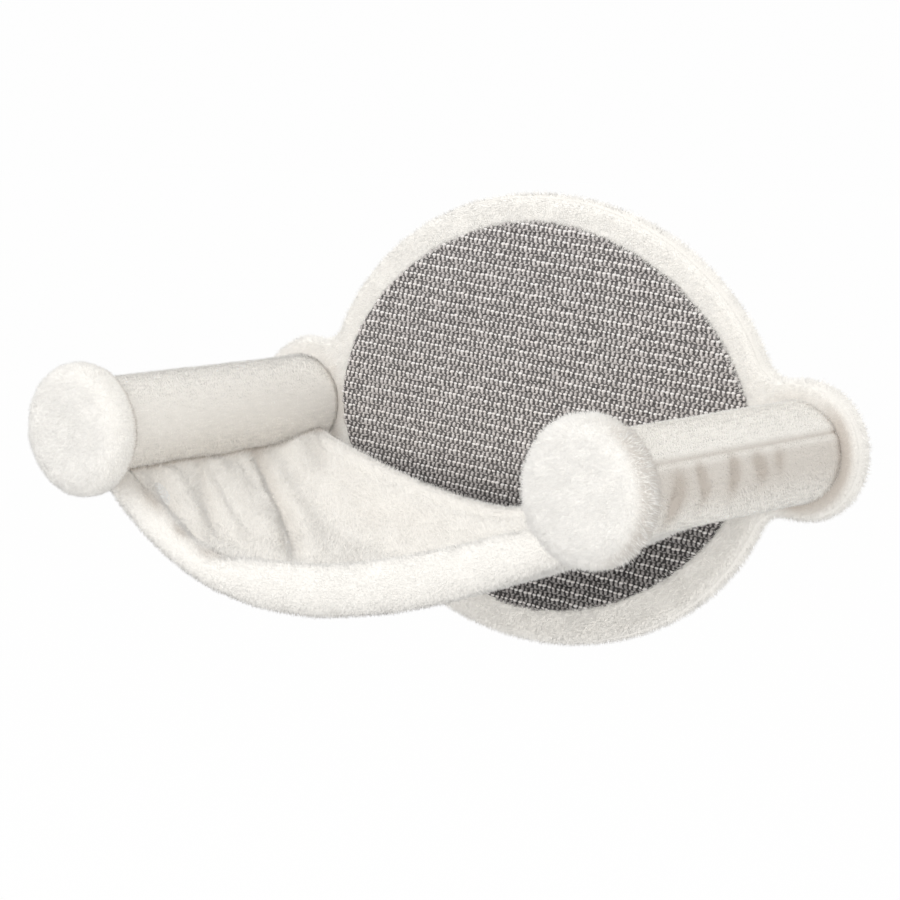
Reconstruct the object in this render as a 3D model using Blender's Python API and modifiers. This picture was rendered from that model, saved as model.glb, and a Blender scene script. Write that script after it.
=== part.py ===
"""Wall-mounted cat bed: an oval board with two ears, a scratch mat, two posts and a plush sling.

Metres, +Z up. The wall is the plane Y = 0 and the bed stands out from it towards -Y.
The two posts' axes lie at Z = 0, and X = 0 is halfway between them.
A distance named "out" is measured from the wall.
"""

import math

import bmesh
import bpy
from mathutils import Vector

# Fits
GAP = 0.0003
SLIP = 0.0006
PLUSH = 0.0034

# Board
BOARD_HALF_WIDTH = 0.2005
BOARD_HALF_HEIGHT = 0.1610
BOARD_RISE = 0.0022
BOARD_THICK = 0.0120
EAR_RADIUS = 0.0452
EAR_REACH = 0.0235
EAR_BLEND = 0.0260

# Board cover
HEM_THICK = 0.0025
HEM_WIDTH = 0.0340
COVER_ROUND = 0.0024

# Scratch mat
SIDE_BAND = 0.0159
TOP_BAND = 0.0202
MAT_LIFT = 0.0028
MAT_POWER = 1.86
MAT_THICK = 0.0038
RIB_PITCH = 0.0077
RIB_DEPTH = 0.0009

# Posts
TUBE_RADIUS = 0.0318
TUBE_WALL = 0.0045
TUBE_LENGTH = 0.2230
PLUG_THICK = 0.0180
SEAM_WIDTH = 0.0060
SEAM_RISE = 0.0012
LEFT_SEAM_ANGLE = 165.0
RIGHT_SEAM_ANGLE = 62.0

# Caps
CAP_RADIUS = 0.0440
CAP_THICK = 0.0120
PADDING_THICK = 0.0048
PADDING_ROUND = 0.0029
CAP_ROUND = 0.0075
CAP_MOUTH = 0.0240

# Bolts, studs, washers and tee nuts
THREAD_RADIUS = 0.0040
HEAD_RADIUS = 0.0095
HEAD_THICK = 0.0034
SOCKET_ACROSS = 0.0050
SOCKET_DEPTH = 0.0022
WASHER_RADIUS = 0.0120
WASHER_THICK = 0.0016
NUT_FLANGE_RADIUS = 0.0110
NUT_FLANGE_THICK = 0.0015
NUT_BARREL_RADIUS = 0.0055
NUT_BARREL_LENGTH = 0.0100
CHAMFER = 0.0010
END_PLAY = 0.0020

# Hanger plates
HANGER_SPACING = 0.1600
HANGER_INSET = 0.0100
PLATE_LENGTH = 0.0620
PLATE_WIDTH = 0.0220
PLATE_THICK = 0.0020
KEYHOLE_RADIUS = 0.0052
KEYHOLE_SLOT_RADIUS = 0.0026
KEYHOLE_DROP = 0.0095
HEAD_ROOM = 0.0060
SCREW_EDGE = 0.0070
SCREW_RADIUS = 0.0016
SCREW_HEAD_RADIUS = 0.0034
SCREW_LENGTH = 0.0095

# Sling
LAYER_THICK = 0.0024
WADDING_THICK = 0.0032
SLING_BITE = 0.0135
BACK_LIP = 0.0070
FRONT_LIP = 0.0130
BELLY = 0.0040
LOW_X_BACK = -0.0150
LOW_X_FRONT = -0.0380
CURL_LEFT_BACK = 1.80
CURL_LEFT_FRONT = 2.55
CURL_RIGHT_BACK = 1.50
CURL_RIGHT_FRONT = 1.60
RIGHT_RAISE = 0.0060

# Rolled rims of the sling
RIM_WALL = 0.0028
FRONT_RIM_CLEARANCE = 0.0015
BACK_RIM_CLEARANCE = 0.0060
RIM_HALF_DEPTH = 0.0120
RIM_RUNOUT = 0.0120
FRONT_RIM_HALF_HEIGHT = 0.0195
BACK_RIM_HALF_HEIGHT = 0.0165
RIM_END_HALF_HEIGHT = 0.0100
FRONT_RIM_LOW = -0.1150
BACK_RIM_LOW = -0.0930
FRONT_RIM_DROP = 0.0065
BACK_RIM_BITE = 0.0055

# Facets
OVAL_STEPS = 52
EAR_STEPS = 14
BLEND_STEPS = 4
SLOT_STEPS = 8
ROUND_STEPS = 32
EDGE_STEPS = 3
NUT_STEPS = 16
SCREW_STEPS = 12
RIM_SIDES = 10
RIM_STATIONS = 17
SLING_ACROSS = 18
SLING_DEEP = 5

# Places that follow from the sizes
POST_X = BOARD_HALF_WIDTH + EAR_REACH
BOARD_BACK = HEM_THICK + GAP
BOARD_FRONT = BOARD_BACK + BOARD_THICK
COVER_FRONT = BOARD_FRONT + GAP + PLUSH
COVER_GROW = GAP + PLUSH
MAT_HALF_WIDTH = BOARD_HALF_WIDTH - SIDE_BAND
MAT_HALF_HEIGHT = BOARD_HALF_HEIGHT - TOP_BAND
MAT_RISE = BOARD_RISE + MAT_LIFT
HEM_HALF_WIDTH = BOARD_HALF_WIDTH - HEM_WIDTH
HEM_HALF_HEIGHT = BOARD_HALF_HEIGHT - HEM_WIDTH
TUBE_REAR = COVER_FRONT + GAP
TUBE_FRONT = TUBE_REAR + TUBE_LENGTH
PLUG_RADIUS = TUBE_RADIUS - TUBE_WALL - GAP
SLEEVE_BORE = TUBE_RADIUS + GAP
SLEEVE_RADIUS = SLEEVE_BORE + PLUSH
CAP_COVER_REAR = TUBE_FRONT + GAP
CAP_REAR = CAP_COVER_REAR + PLUSH + GAP
CAP_FRONT = CAP_REAR + CAP_THICK
PADDING_REAR = CAP_FRONT + GAP
PADDING_FRONT = PADDING_REAR + PADDING_THICK
CAP_COVER_FRONT = PADDING_FRONT + GAP + PLUSH
CAP_COVER_RADIUS = CAP_RADIUS + GAP + PLUSH
POCKET_DEPTH = HEAD_THICK + WASHER_THICK + 3 * GAP
FRONT_RIM_OUT = TUBE_FRONT - FRONT_RIM_CLEARANCE - RIM_HALF_DEPTH
BACK_RIM_OUT = COVER_FRONT + BACK_RIM_CLEARANCE + RIM_HALF_DEPTH
FRONT_RIM_END = -SLEEVE_RADIUS - FRONT_RIM_DROP
BACK_RIM_END = -SLEEVE_RADIUS + BACK_RIM_BITE
SLING_END = -SLEEVE_RADIUS + SLING_BITE
SLING_LOW_BACK = BACK_RIM_LOW + BACK_LIP
SLING_LOW_FRONT = FRONT_RIM_LOW + FRONT_LIP
PLATE_REAR = BOARD_BACK - GAP - PLATE_THICK


def clear_scene():
    for item in list(bpy.data.objects):
        bpy.data.objects.remove(item, do_unlink=True)


def new_collection(name):
    found = bpy.data.collections.new(name)
    bpy.context.scene.collection.children.link(found)
    return found


def material(name, colour, roughness, metallic=0.0):
    made = bpy.data.materials.get(name) or bpy.data.materials.new(name)
    made.use_nodes = True
    shader = made.node_tree.nodes["Principled BSDF"]
    shader.inputs["Base Color"].default_value = (*colour, 1.0)
    shader.inputs["Roughness"].default_value = roughness
    shader.inputs["Metallic"].default_value = metallic
    return made


def cream_plush():
    return material("cream_plush", (0.88, 0.86, 0.82), 0.95)


def plywood():
    return material("plywood", (0.72, 0.57, 0.38), 0.7)


def zinc_steel():
    return material("zinc_steel", (0.62, 0.63, 0.65), 0.35, 1.0)


# Outlines, as (x, z) points that run anticlockwise


def oval(half_width, half_height, rise, power=2.0, steps=OVAL_STEPS, start=0.0, stop=None):
    """An oval, or a stretch of it between two angles in radians."""
    whole = stop is None
    sweep = 2 * math.pi if whole else stop - start
    points = []
    for i in range(steps if whole else steps + 1):
        turn = start + sweep * i / steps
        c, s = math.cos(turn), math.sin(turn)
        points.append(
            (
                math.copysign(half_width * abs(c) ** (2 / power), c),
                rise + math.copysign(half_height * abs(s) ** (2 / power), s),
            )
        )
    return points


def circle(x, z, radius, steps=24):
    return [(x + px, z + pz) for px, pz in oval(radius, radius, 0.0, steps=steps)]


def arc(x, z, radius, start, stop, steps):
    return [(x + px, z + pz) for px, pz in oval(radius, radius, 0.0, 2.0, steps, start, stop)]


def blend_centre(a, b, ear, blend, side):
    """Centre of the hollow corner between the oval and an ear, and where it touches the oval."""
    rim = oval(a, b, BOARD_RISE, steps=24 * OVAL_STEPS)

    def nearest(turn):
        x = POST_X + (ear + blend) * math.cos(turn)
        z = side * (ear + blend) * math.sin(turn)
        inside = (x / a) ** 2 + ((z - BOARD_RISE) / b) ** 2 < 1
        gap, index = min((math.hypot(x - px, z - pz), i) for i, (px, pz) in enumerate(rim))
        return (-gap if inside else gap), index, (x, z)

    low, high = math.radians(60), math.radians(180)
    for _ in range(30):
        middle = (low + high) / 2
        if nearest(middle)[0] > blend:
            low = middle
        else:
            high = middle
    _, index, centre = nearest(low)
    return centre, rim[index]


def eared_outline(grow=0.0):
    """The board's outline, or one grown all round: an oval with a round ear at each post."""
    a, b = BOARD_HALF_WIDTH + grow, BOARD_HALF_HEIGHT + grow
    ear, blend = EAR_RADIUS + grow, EAR_BLEND - grow
    corners = {side: blend_centre(a, b, ear, blend, side) for side in (-1, 1)}

    def turn(corner, point):
        return math.atan2(point[1] - corner[1], point[0] - corner[0])

    def oval_turn(point):
        return math.atan2((point[1] - BOARD_RISE) / b, point[0] / a)

    (low, low_touch), (high, high_touch) = corners[-1], corners[1]
    ear_place = (POST_X, 0.0)
    half_top = oval(a, b, BOARD_RISE, 2.0, OVAL_STEPS // 4, oval_turn(high_touch), math.pi / 2)
    half_low = oval(a, b, BOARD_RISE, 2.0, OVAL_STEPS // 4, -math.pi / 2, oval_turn(low_touch))
    low_start = turn(low, low_touch)
    low_stop = turn(low, ear_place)
    high_start = turn(high, ear_place)
    high_stop = turn(high, high_touch)
    if high_start < 0:
        high_start += 2 * math.pi
    if high_stop < high_start - math.pi:
        high_stop += 2 * math.pi
    ear_arc = arc(*ear_place, ear, turn(ear_place, low), turn(ear_place, high), EAR_STEPS)
    right = half_low
    right += arc(*low, blend, low_start, low_stop, BLEND_STEPS)[1:]
    right += ear_arc[1:]
    right += arc(*high, blend, high_start, high_stop, BLEND_STEPS)[1:]
    right += half_top[1:]
    left = [(-x, z) for x, z in reversed(right[1:-1])]
    return right + left


def stadium(length, width):
    """A bar with round ends, lengthwise along X."""
    reach = (length - width) / 2
    half = math.pi / 2
    right = arc(reach, 0.0, width / 2, -half, half, SLOT_STEPS)
    return right + [(-x, -z) for x, z in right]


def keyhole(x, z):
    """A round hole with a narrow slot above it, in one outline."""
    dip = math.asin(KEYHOLE_SLOT_RADIUS / KEYHOLE_RADIUS)
    start = math.pi / 2 + dip
    lower = arc(0.0, 0.0, KEYHOLE_RADIUS, start, 3 * math.pi - start, 2 * SLOT_STEPS)
    upper = arc(0.0, KEYHOLE_DROP, KEYHOLE_SLOT_RADIUS, 0.0, math.pi, SLOT_STEPS)
    return [(x + px, z + pz) for px, pz in lower + upper]


# Makers of solids


class Bed:
    """The finished parts in one collection and their cutters in another."""

    def __init__(self):
        self.parts = new_collection("cat_bed")
        self.cutters = new_collection("cutters")

    def add(self, name, mesh, finish):
        made = bpy.data.objects.new(name, mesh)
        mesh.name = name
        mesh.materials.clear()
        mesh.materials.append(finish)
        self.parts.objects.link(made)
        mesh.shade_smooth()
        mesh.set_sharp_from_angle(angle=math.radians(35))
        return made

    def cutter(self, mesh):
        made = bpy.data.objects.new("cutter", mesh)
        self.cutters.objects.link(made)
        made.hide_render = True
        made.display_type = "WIRE"
        return made

    def cut(self, part, *meshes):
        for mesh in meshes:
            modifier = part.modifiers.new("cut", "BOOLEAN")
            modifier.operation = "DIFFERENCE"
            modifier.solver = "EXACT"
            modifier.object = self.cutter(mesh)


def evaluated_mesh(item, weld=0.00002):
    """A welded mesh of a curve or of a modified mesh in world space; the item itself is removed."""
    bpy.context.scene.collection.objects.link(item)
    bpy.context.view_layer.update()
    graph = bpy.context.evaluated_depsgraph_get()
    mesh = bpy.data.meshes.new_from_object(item.evaluated_get(graph))
    mesh.transform(item.matrix_world)
    bpy.data.objects.remove(item, do_unlink=True)
    shape = bmesh.new()
    shape.from_mesh(mesh)
    bmesh.ops.remove_doubles(shape, verts=shape.verts, dist=weld)
    bmesh.ops.recalc_face_normals(shape, faces=shape.faces)
    shape.to_mesh(mesh)
    shape.free()
    return mesh


def stand_out(item, x=0.0, z=0.0, out=0.0):
    """Turns a local XY plan to the wall's plane, with local +Z pointing away from the wall."""
    item.rotation_euler = (math.pi / 2, 0.0, 0.0)
    item.location = (x, -out, z)


def slab(outlines, rear, front, rounding=0.0):
    """A flat piece parallel to the wall, from one outline and the outlines of its holes."""
    plan = bpy.data.curves.new("plan", "CURVE")
    plan.dimensions = "2D"
    plan.fill_mode = "BOTH"
    plan.extrude = (front - rear) / 2 - rounding
    plan.bevel_depth = rounding
    plan.bevel_resolution = 1
    plan.offset = -rounding
    for outline in outlines:
        line = plan.splines.new("POLY")
        line.points.add(len(outline) - 1)
        for point, (x, z) in zip(line.points, outline):
            point.co = (x, z, 0.0, 1.0)
        line.use_cyclic_u = True
    item = bpy.data.objects.new("plan", plan)
    stand_out(item, out=(rear + front) / 2)
    return evaluated_mesh(item)


def turned(profile, x=0.0, z=0.0, steps=ROUND_STEPS, ring=False):
    """A piece turned about a line that stands out from the wall.

    The profile lists (radius, out) from its front end outwards and back along the outer side.
    """
    mesh = bpy.data.meshes.new("profile")
    count = len(profile)
    edges = [(i, (i + 1) % count) for i in range(count if ring else count - 1)]
    mesh.from_pydata([(radius, 0.0, out) for radius, out in profile], edges, [])
    item = bpy.data.objects.new("profile", mesh)
    screw = item.modifiers.new("turn", "SCREW")
    screw.axis = "Z"
    screw.steps = steps
    screw.render_steps = steps
    screw.use_merge_vertices = True
    screw.merge_threshold = 0.00002
    stand_out(item, x, z)
    return evaluated_mesh(item)


def tube(inner, outer, rear, front, x=0.0, z=0.0, steps=ROUND_STEPS):
    return turned([(inner, front), (outer, front), (outer, rear), (inner, rear)], x, z, steps, True)


def rod(radius, rear, front, x=0.0, z=0.0, steps=ROUND_STEPS):
    return turned([(0.0, front), (radius, front), (radius, rear), (0.0, rear)], x, z, steps)


def prism(sides, across, rear, front, x=0.0, z=0.0):
    """A bar with flat sides; across is the distance between two opposite flats."""
    shape = bmesh.new()
    radius = across / 2 / math.cos(math.pi / sides)
    bmesh.ops.create_cone(
        shape, cap_ends=True, segments=sides, radius1=radius, radius2=radius, depth=front - rear
    )
    mesh = bpy.data.meshes.new("prism")
    shape.to_mesh(mesh)
    shape.free()
    item = bpy.data.objects.new("prism", mesh)
    stand_out(item, x, z, (rear + front) / 2)
    return evaluated_mesh(item)


def together(*meshes):
    """Several separate bodies in one mesh."""
    shape = bmesh.new()
    for mesh in meshes:
        shape.from_mesh(mesh)
        bpy.data.meshes.remove(mesh)
    joined = bpy.data.meshes.new("group")
    shape.to_mesh(joined)
    shape.free()
    return joined


def loft(rings, closed_ends=True):
    """A skin over rings of equally many points; without ends it stays an open tube."""
    shape = bmesh.new()
    rows = [[shape.verts.new(point) for point in ring] for ring in rings]
    sides = len(rings[0])
    for row, following in zip(rows, rows[1:]):
        for i in range(sides):
            j = (i + 1) % sides
            shape.faces.new((row[i], row[j], following[j], following[i]))
    bmesh.ops.triangulate(shape, faces=shape.faces, quad_method="FIXED")
    if closed_ends:
        shape.faces.new(rows[0])
        shape.faces.new(rows[-1])
    bmesh.ops.recalc_face_normals(shape, faces=shape.faces)
    mesh = bpy.data.meshes.new("loft")
    shape.to_mesh(mesh)
    shape.free()
    return mesh


# Pieces of the board


def hanger_places():
    """Each hanger plate's keyhole, with the plate's outer end just inside the hem."""
    reach = HANGER_SPACING / 2
    corner = (reach + PLATE_LENGTH / 2) / HEM_HALF_WIDTH
    hem = BOARD_RISE + HEM_HALF_HEIGHT * math.sqrt(1 - corner**2)
    height = hem - HANGER_INSET - PLATE_WIDTH / 2
    return {"left": (-reach, height), "right": (reach, height)}


def screw_places(hanger):
    x, z = hanger_places()[hanger]
    reach = PLATE_LENGTH / 2 - SCREW_EDGE
    return [(x - reach, z), (x + reach, z)]


def back_board(bed):
    bores = [circle(x, 0.0, THREAD_RADIUS + SLIP) for x in (-POST_X, POST_X)]
    board = bed.add(
        "back_board",
        slab([eared_outline()] + bores, BOARD_BACK, BOARD_FRONT),
        material("fibreboard", (0.46, 0.32, 0.19), 0.75),
    )
    skin = BOARD_BACK - GAP
    pockets = [
        rod(WASHER_RADIUS + SLIP, skin, BOARD_BACK + POCKET_DEPTH, x) for x in (-POST_X, POST_X)
    ]
    for x, z in hanger_places().values():
        room = KEYHOLE_DROP + 2 * KEYHOLE_RADIUS + 2 * SLIP
        outline = [
            (x + pz, z + KEYHOLE_DROP / 2 + px)
            for px, pz in stadium(room, 2 * (KEYHOLE_RADIUS + SLIP))
        ]
        pockets.append(slab([outline], skin, BOARD_BACK + HEAD_ROOM))
    deep = PLATE_REAR + SCREW_LENGTH + SLIP
    for hanger in hanger_places():
        for x, z in screw_places(hanger):
            pockets.append(rod(SCREW_RADIUS + GAP, skin, deep, x, z, SCREW_STEPS))
    bed.cut(board, together(*pockets))


def board_cover(bed):
    """Plush wrapped round the board, with a window for the mat and a hem round the back."""
    cover = bed.add(
        "board_cover",
        slab([eared_outline(COVER_GROW)], 0.0, COVER_FRONT, COVER_ROUND),
        cream_plush(),
    )
    room = slab([eared_outline(GAP)], HEM_THICK, BOARD_FRONT + GAP)
    reach = COVER_FRONT + SLIP
    window = oval(MAT_HALF_WIDTH + GAP, MAT_HALF_HEIGHT + GAP, MAT_RISE, MAT_POWER)
    back = oval(HEM_HALF_WIDTH, HEM_HALF_HEIGHT, BOARD_RISE)
    bed.cut(
        cover,
        room,
        slab([window], BOARD_FRONT, reach),
        slab([back], -SLIP, BOARD_BACK),
    )
    for x in (-POST_X, POST_X):
        bed.cut(cover, rod(THREAD_RADIUS + SLIP, BOARD_FRONT, reach, x, 0.0, NUT_STEPS))
        bed.cut(cover, rod(WASHER_RADIUS + SLIP, -SLIP, BOARD_BACK, x))


def scratch_mat(bed):
    """A woven mat with a low rib across it at each heavy weft cord."""
    rear = BOARD_FRONT + GAP
    front = rear + MAT_THICK
    outline = oval(MAT_HALF_WIDTH, MAT_HALF_HEIGHT, MAT_RISE, MAT_POWER)
    mat = bed.add(
        "scratch_mat",
        slab([outline], rear, front),
        material("sisal", (0.33, 0.31, 0.30), 0.9),
    )
    top = MAT_RISE + MAT_HALF_HEIGHT
    furrows = []
    count = int(2 * MAT_HALF_HEIGHT / RIB_PITCH)
    for i in range(1, count):
        z = top - i * RIB_PITCH
        side = RIB_PITCH * 0.22
        ring = [(z - side, front + SLIP), (z + side, front + SLIP), (z, front - RIB_DEPTH)]
        reach = MAT_HALF_WIDTH + SLIP
        rings = [[(x, -out, height) for height, out in ring] for x in (-reach, reach)]
        furrows.append(loft(rings))
    bed.cut(mat, together(*furrows))


def hanger_screw(x, z, sink):
    """A countersunk screw whose head lies just below the plate's rear face."""
    tip = PLATE_REAR + SCREW_LENGTH
    profile = [
        (0.0, tip),
        (SCREW_RADIUS, tip - SCREW_RADIUS),
        (SCREW_RADIUS, sink),
        (SCREW_HEAD_RADIUS, PLATE_REAR + GAP),
        (0.0, PLATE_REAR + GAP),
    ]
    return turned(profile, x, z, SCREW_STEPS)


def countersink(x, z, sink):
    behind = PLATE_REAR - SLIP
    profile = [
        (0.0, sink),
        (SCREW_RADIUS + GAP, sink),
        (SCREW_HEAD_RADIUS + GAP, PLATE_REAR),
        (SCREW_HEAD_RADIUS + GAP, behind),
        (0.0, behind),
    ]
    return turned(profile, x, z, SCREW_STEPS)


def hangers(bed):
    """Two steel keyhole plates, each screwed to the board's back by two screws."""
    steel = zinc_steel()
    sink = PLATE_REAR + (SCREW_HEAD_RADIUS - SCREW_RADIUS)
    for side, (x, z) in hanger_places().items():
        outline = [(x + px, z + pz) for px, pz in stadium(PLATE_LENGTH, PLATE_WIDTH)]
        places = screw_places(side)
        holes = [circle(*place, SCREW_RADIUS + GAP, SCREW_STEPS) for place in places]
        flat = slab([outline, keyhole(x, z)] + holes, PLATE_REAR, PLATE_REAR + PLATE_THICK)
        plate = bed.add(f"{side}_hanger_plate", flat, steel)
        bed.cut(plate, together(*[countersink(*place, sink) for place in places]))
        for number, place in enumerate(places, 1):
            bed.add(f"{side}_hanger_screw_{number}", hanger_screw(*place, sink), steel)


# Posts and caps


def tee_nut(flange_out, direction, x):
    """A nut whose flange lies at flange_out and whose barrel runs on in the direction given."""
    bore = THREAD_RADIUS + GAP
    step = flange_out + direction * NUT_FLANGE_THICK
    tip = flange_out + direction * NUT_BARREL_LENGTH
    profile = [
        (bore, flange_out),
        (NUT_FLANGE_RADIUS, flange_out),
        (NUT_FLANGE_RADIUS, step),
        (NUT_BARREL_RADIUS, step),
        (NUT_BARREL_RADIUS, tip),
        (bore, tip),
    ]
    return turned(profile, x, 0.0, NUT_STEPS, True)


def nut_seat(direction, rear, front, x):
    """The stepped bore that a tee nut needs in a disc, with the nut's flange flush at one face."""
    flange = NUT_FLANGE_RADIUS + GAP
    barrel = NUT_BARREL_RADIUS + GAP
    depth = NUT_FLANGE_THICK + GAP
    if direction < 0:
        first, step, second = flange, front - depth, barrel
    else:
        first, step, second = barrel, rear + depth, flange
    profile = [
        (0.0, front + SLIP),
        (first, front + SLIP),
        (first, step),
        (second, step),
        (second, rear - SLIP),
        (0.0, rear - SLIP),
    ]
    return turned(profile, x, 0.0, NUT_STEPS)


def post(bed, side, x, seam_angle):
    """A card tube with a plywood plug in each end, in its plush sleeve."""
    ply = plywood()
    tube_bore = TUBE_RADIUS - TUBE_WALL
    card = material("card_tube", (0.55, 0.43, 0.30), 0.85)
    bed.add(f"{side}_post_tube", tube(tube_bore, TUBE_RADIUS, TUBE_REAR, TUBE_FRONT, x), card)
    bed.add(f"{side}_post_sleeve", sleeve(x, seam_angle), cream_plush())
    rear_inner = TUBE_REAR + PLUG_THICK
    front_inner = TUBE_FRONT - PLUG_THICK
    for end, rear, front, flange, direction in (
        ("rear", TUBE_REAR, rear_inner, rear_inner, -1),
        ("front", front_inner, TUBE_FRONT, front_inner, 1),
    ):
        plug = bed.add(f"{side}_{end}_plug", rod(PLUG_RADIUS, rear, front, x), ply)
        bed.cut(plug, nut_seat(direction, rear, front, x))
        bed.add(f"{side}_{end}_tee_nut", tee_nut(flange, direction, x), zinc_steel())


def cap(bed, side, x):
    """A padded plywood disc under plush, held on the post by a nut and a stud."""
    disc = bed.add(f"{side}_cap_disc", rod(CAP_RADIUS, CAP_REAR, CAP_FRONT, x), plywood())
    bed.cut(disc, nut_seat(-1, CAP_REAR, CAP_FRONT, x))
    bed.add(f"{side}_cap_tee_nut", tee_nut(CAP_FRONT, -1, x), zinc_steel())
    foam = material("foam", (0.90, 0.88, 0.80), 0.9)
    profile = [
        (0.0, PADDING_FRONT),
        (CAP_RADIUS - PADDING_ROUND, PADDING_FRONT),
        (CAP_RADIUS, PADDING_FRONT - PADDING_ROUND),
        (CAP_RADIUS, PADDING_REAR),
        (0.0, PADDING_REAR),
    ]
    bed.add(f"{side}_cap_padding", turned(profile, x), foam)
    bed.add(f"{side}_cap_cover", cap_cover(x), cream_plush())


def cap_cover(x):
    """Plush drawn over the padded disc and gathered behind it, with an open mouth."""
    outer = []
    for i in range(EDGE_STEPS + 1):
        turn = math.pi / 2 * i / EDGE_STEPS
        radius = CAP_COVER_RADIUS - CAP_ROUND * (1 - math.sin(turn))
        outer.append((radius, CAP_COVER_FRONT - CAP_ROUND * (1 - math.cos(turn))))
    for i in range(EDGE_STEPS + 1):
        turn = math.pi / 2 * i / EDGE_STEPS
        radius = CAP_COVER_RADIUS - CAP_ROUND * (1 - math.cos(turn))
        outer.append((radius, CAP_COVER_REAR + CAP_ROUND * (1 - math.sin(turn))))
    room_radius = CAP_RADIUS + GAP
    room_front = PADDING_FRONT + GAP
    room_rear = CAP_REAR - GAP
    profile = [(0.0, CAP_COVER_FRONT)] + outer
    profile += [
        (CAP_MOUTH, CAP_COVER_REAR),
        (CAP_MOUTH, room_rear),
        (room_radius, room_rear),
        (room_radius, room_front - PADDING_ROUND),
        (room_radius - PADDING_ROUND, room_front),
        (0.0, room_front),
    ]
    return turned(profile, x)


def sleeve(x, seam_angle):
    """Plush round a post, closed by one raised lengthwise seam."""
    inner = [(x + px, pz) for px, pz in oval(SLEEVE_BORE, SLEEVE_BORE, 0.0, steps=ROUND_STEPS)]
    half = SEAM_WIDTH / 2 / SLEEVE_RADIUS
    middle = math.radians(seam_angle)
    outer = arc(x, 0.0, SLEEVE_RADIUS, middle + half, middle + 2 * math.pi - half, ROUND_STEPS)
    crest = SLEEVE_RADIUS + SEAM_RISE
    outer += arc(x, 0.0, crest, middle - half * 0.5, middle + half * 0.5, 2)
    return slab([outer, inner], TUBE_REAR, TUBE_FRONT)


def post_bolt(bed, side, x):
    """A flat-headed bolt and its washer, sunk in the board's back and screwed into the post."""
    floor = BOARD_BACK + POCKET_DEPTH - GAP
    washer_rear = floor - WASHER_THICK
    head_front = washer_rear - GAP
    head_rear = head_front - HEAD_THICK
    washer = tube(THREAD_RADIUS + GAP, WASHER_RADIUS, washer_rear, floor, x, 0.0, NUT_STEPS)
    bed.add(f"{side}_bolt_washer", washer, zinc_steel())
    tip = TUBE_REAR + PLUG_THICK + END_PLAY
    profile = [
        (0.0, tip),
        (THREAD_RADIUS - CHAMFER, tip),
        (THREAD_RADIUS, tip - CHAMFER),
        (THREAD_RADIUS, head_front),
        (HEAD_RADIUS, head_front),
        (HEAD_RADIUS, head_rear + CHAMFER),
        (HEAD_RADIUS - CHAMFER, head_rear),
        (0.0, head_rear),
    ]
    bolt = bed.add(f"{side}_post_bolt", turned(profile, x, 0.0, NUT_STEPS), zinc_steel())
    bed.cut(bolt, prism(6, SOCKET_ACROSS, head_rear - SLIP, head_rear + SOCKET_DEPTH, x))


def cap_stud(bed, side, x):
    """A stud from the nut in the post's front plug to the nut in the cap's disc."""
    rear = TUBE_FRONT - PLUG_THICK - END_PLAY
    front = CAP_FRONT - NUT_FLANGE_THICK
    profile = [
        (0.0, front),
        (THREAD_RADIUS - CHAMFER, front),
        (THREAD_RADIUS, front - CHAMFER),
        (THREAD_RADIUS, rear + CHAMFER),
        (THREAD_RADIUS - CHAMFER, rear),
        (0.0, rear),
    ]
    bed.add(f"{side}_cap_stud", turned(profile, x, 0.0, NUT_STEPS), zinc_steel())


# Sling


def blend(first, second, share):
    return first + (second - first) * share


def hung(low, end, x, share):
    """Height of a crosswise line that hangs from its low point up to its end at each post."""
    low_x = blend(LOW_X_BACK, LOW_X_FRONT, share)
    if x < low_x:
        curl = blend(CURL_LEFT_BACK, CURL_LEFT_FRONT, share)
        return blend(low, end, ((low_x - x) / (POST_X + low_x)) ** curl)
    curl = blend(CURL_RIGHT_BACK, CURL_RIGHT_FRONT, share)
    return blend(low, end + RIGHT_RAISE, ((x - low_x) / (POST_X - low_x)) ** curl)


def depth_share(out):
    return (out - BACK_RIM_OUT) / (FRONT_RIM_OUT - BACK_RIM_OUT)


def sling_height(x, out):
    """Height of the sling's upper face."""
    share = depth_share(out)
    ends = blend(SLING_LOW_BACK, SLING_LOW_FRONT, share)
    low = ends - BELLY * 4 * share * (1 - share)
    return hung(low, SLING_END, x, share)


def sling_layer(depth, thick):
    """One layer of the sling, whose upper face lies a given depth below the sling's upper face."""
    shape = bmesh.new()
    bmesh.ops.create_grid(shape, x_segments=SLING_ACROSS, y_segments=SLING_DEEP, size=1.0)
    half_deep = (FRONT_RIM_OUT - BACK_RIM_OUT) / 2
    middle = (FRONT_RIM_OUT + BACK_RIM_OUT) / 2
    for vert in shape.verts:
        x = vert.co.x * POST_X
        out = middle - vert.co.y * half_deep
        vert.co = (x, -out, sling_height(x, out))
    bmesh.ops.triangulate(shape, faces=shape.faces, quad_method="FIXED")
    shape.normal_update()
    for vert, normal in [(vert, vert.normal.copy()) for vert in shape.verts]:
        vert.co -= depth * normal
    mesh = bpy.data.meshes.new("layer")
    shape.to_mesh(mesh)
    shape.free()
    item = bpy.data.objects.new("layer", mesh)
    solid = item.modifiers.new("thickness", "SOLIDIFY")
    solid.thickness = thick
    solid.offset = -1.0
    return evaluated_mesh(item)


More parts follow.
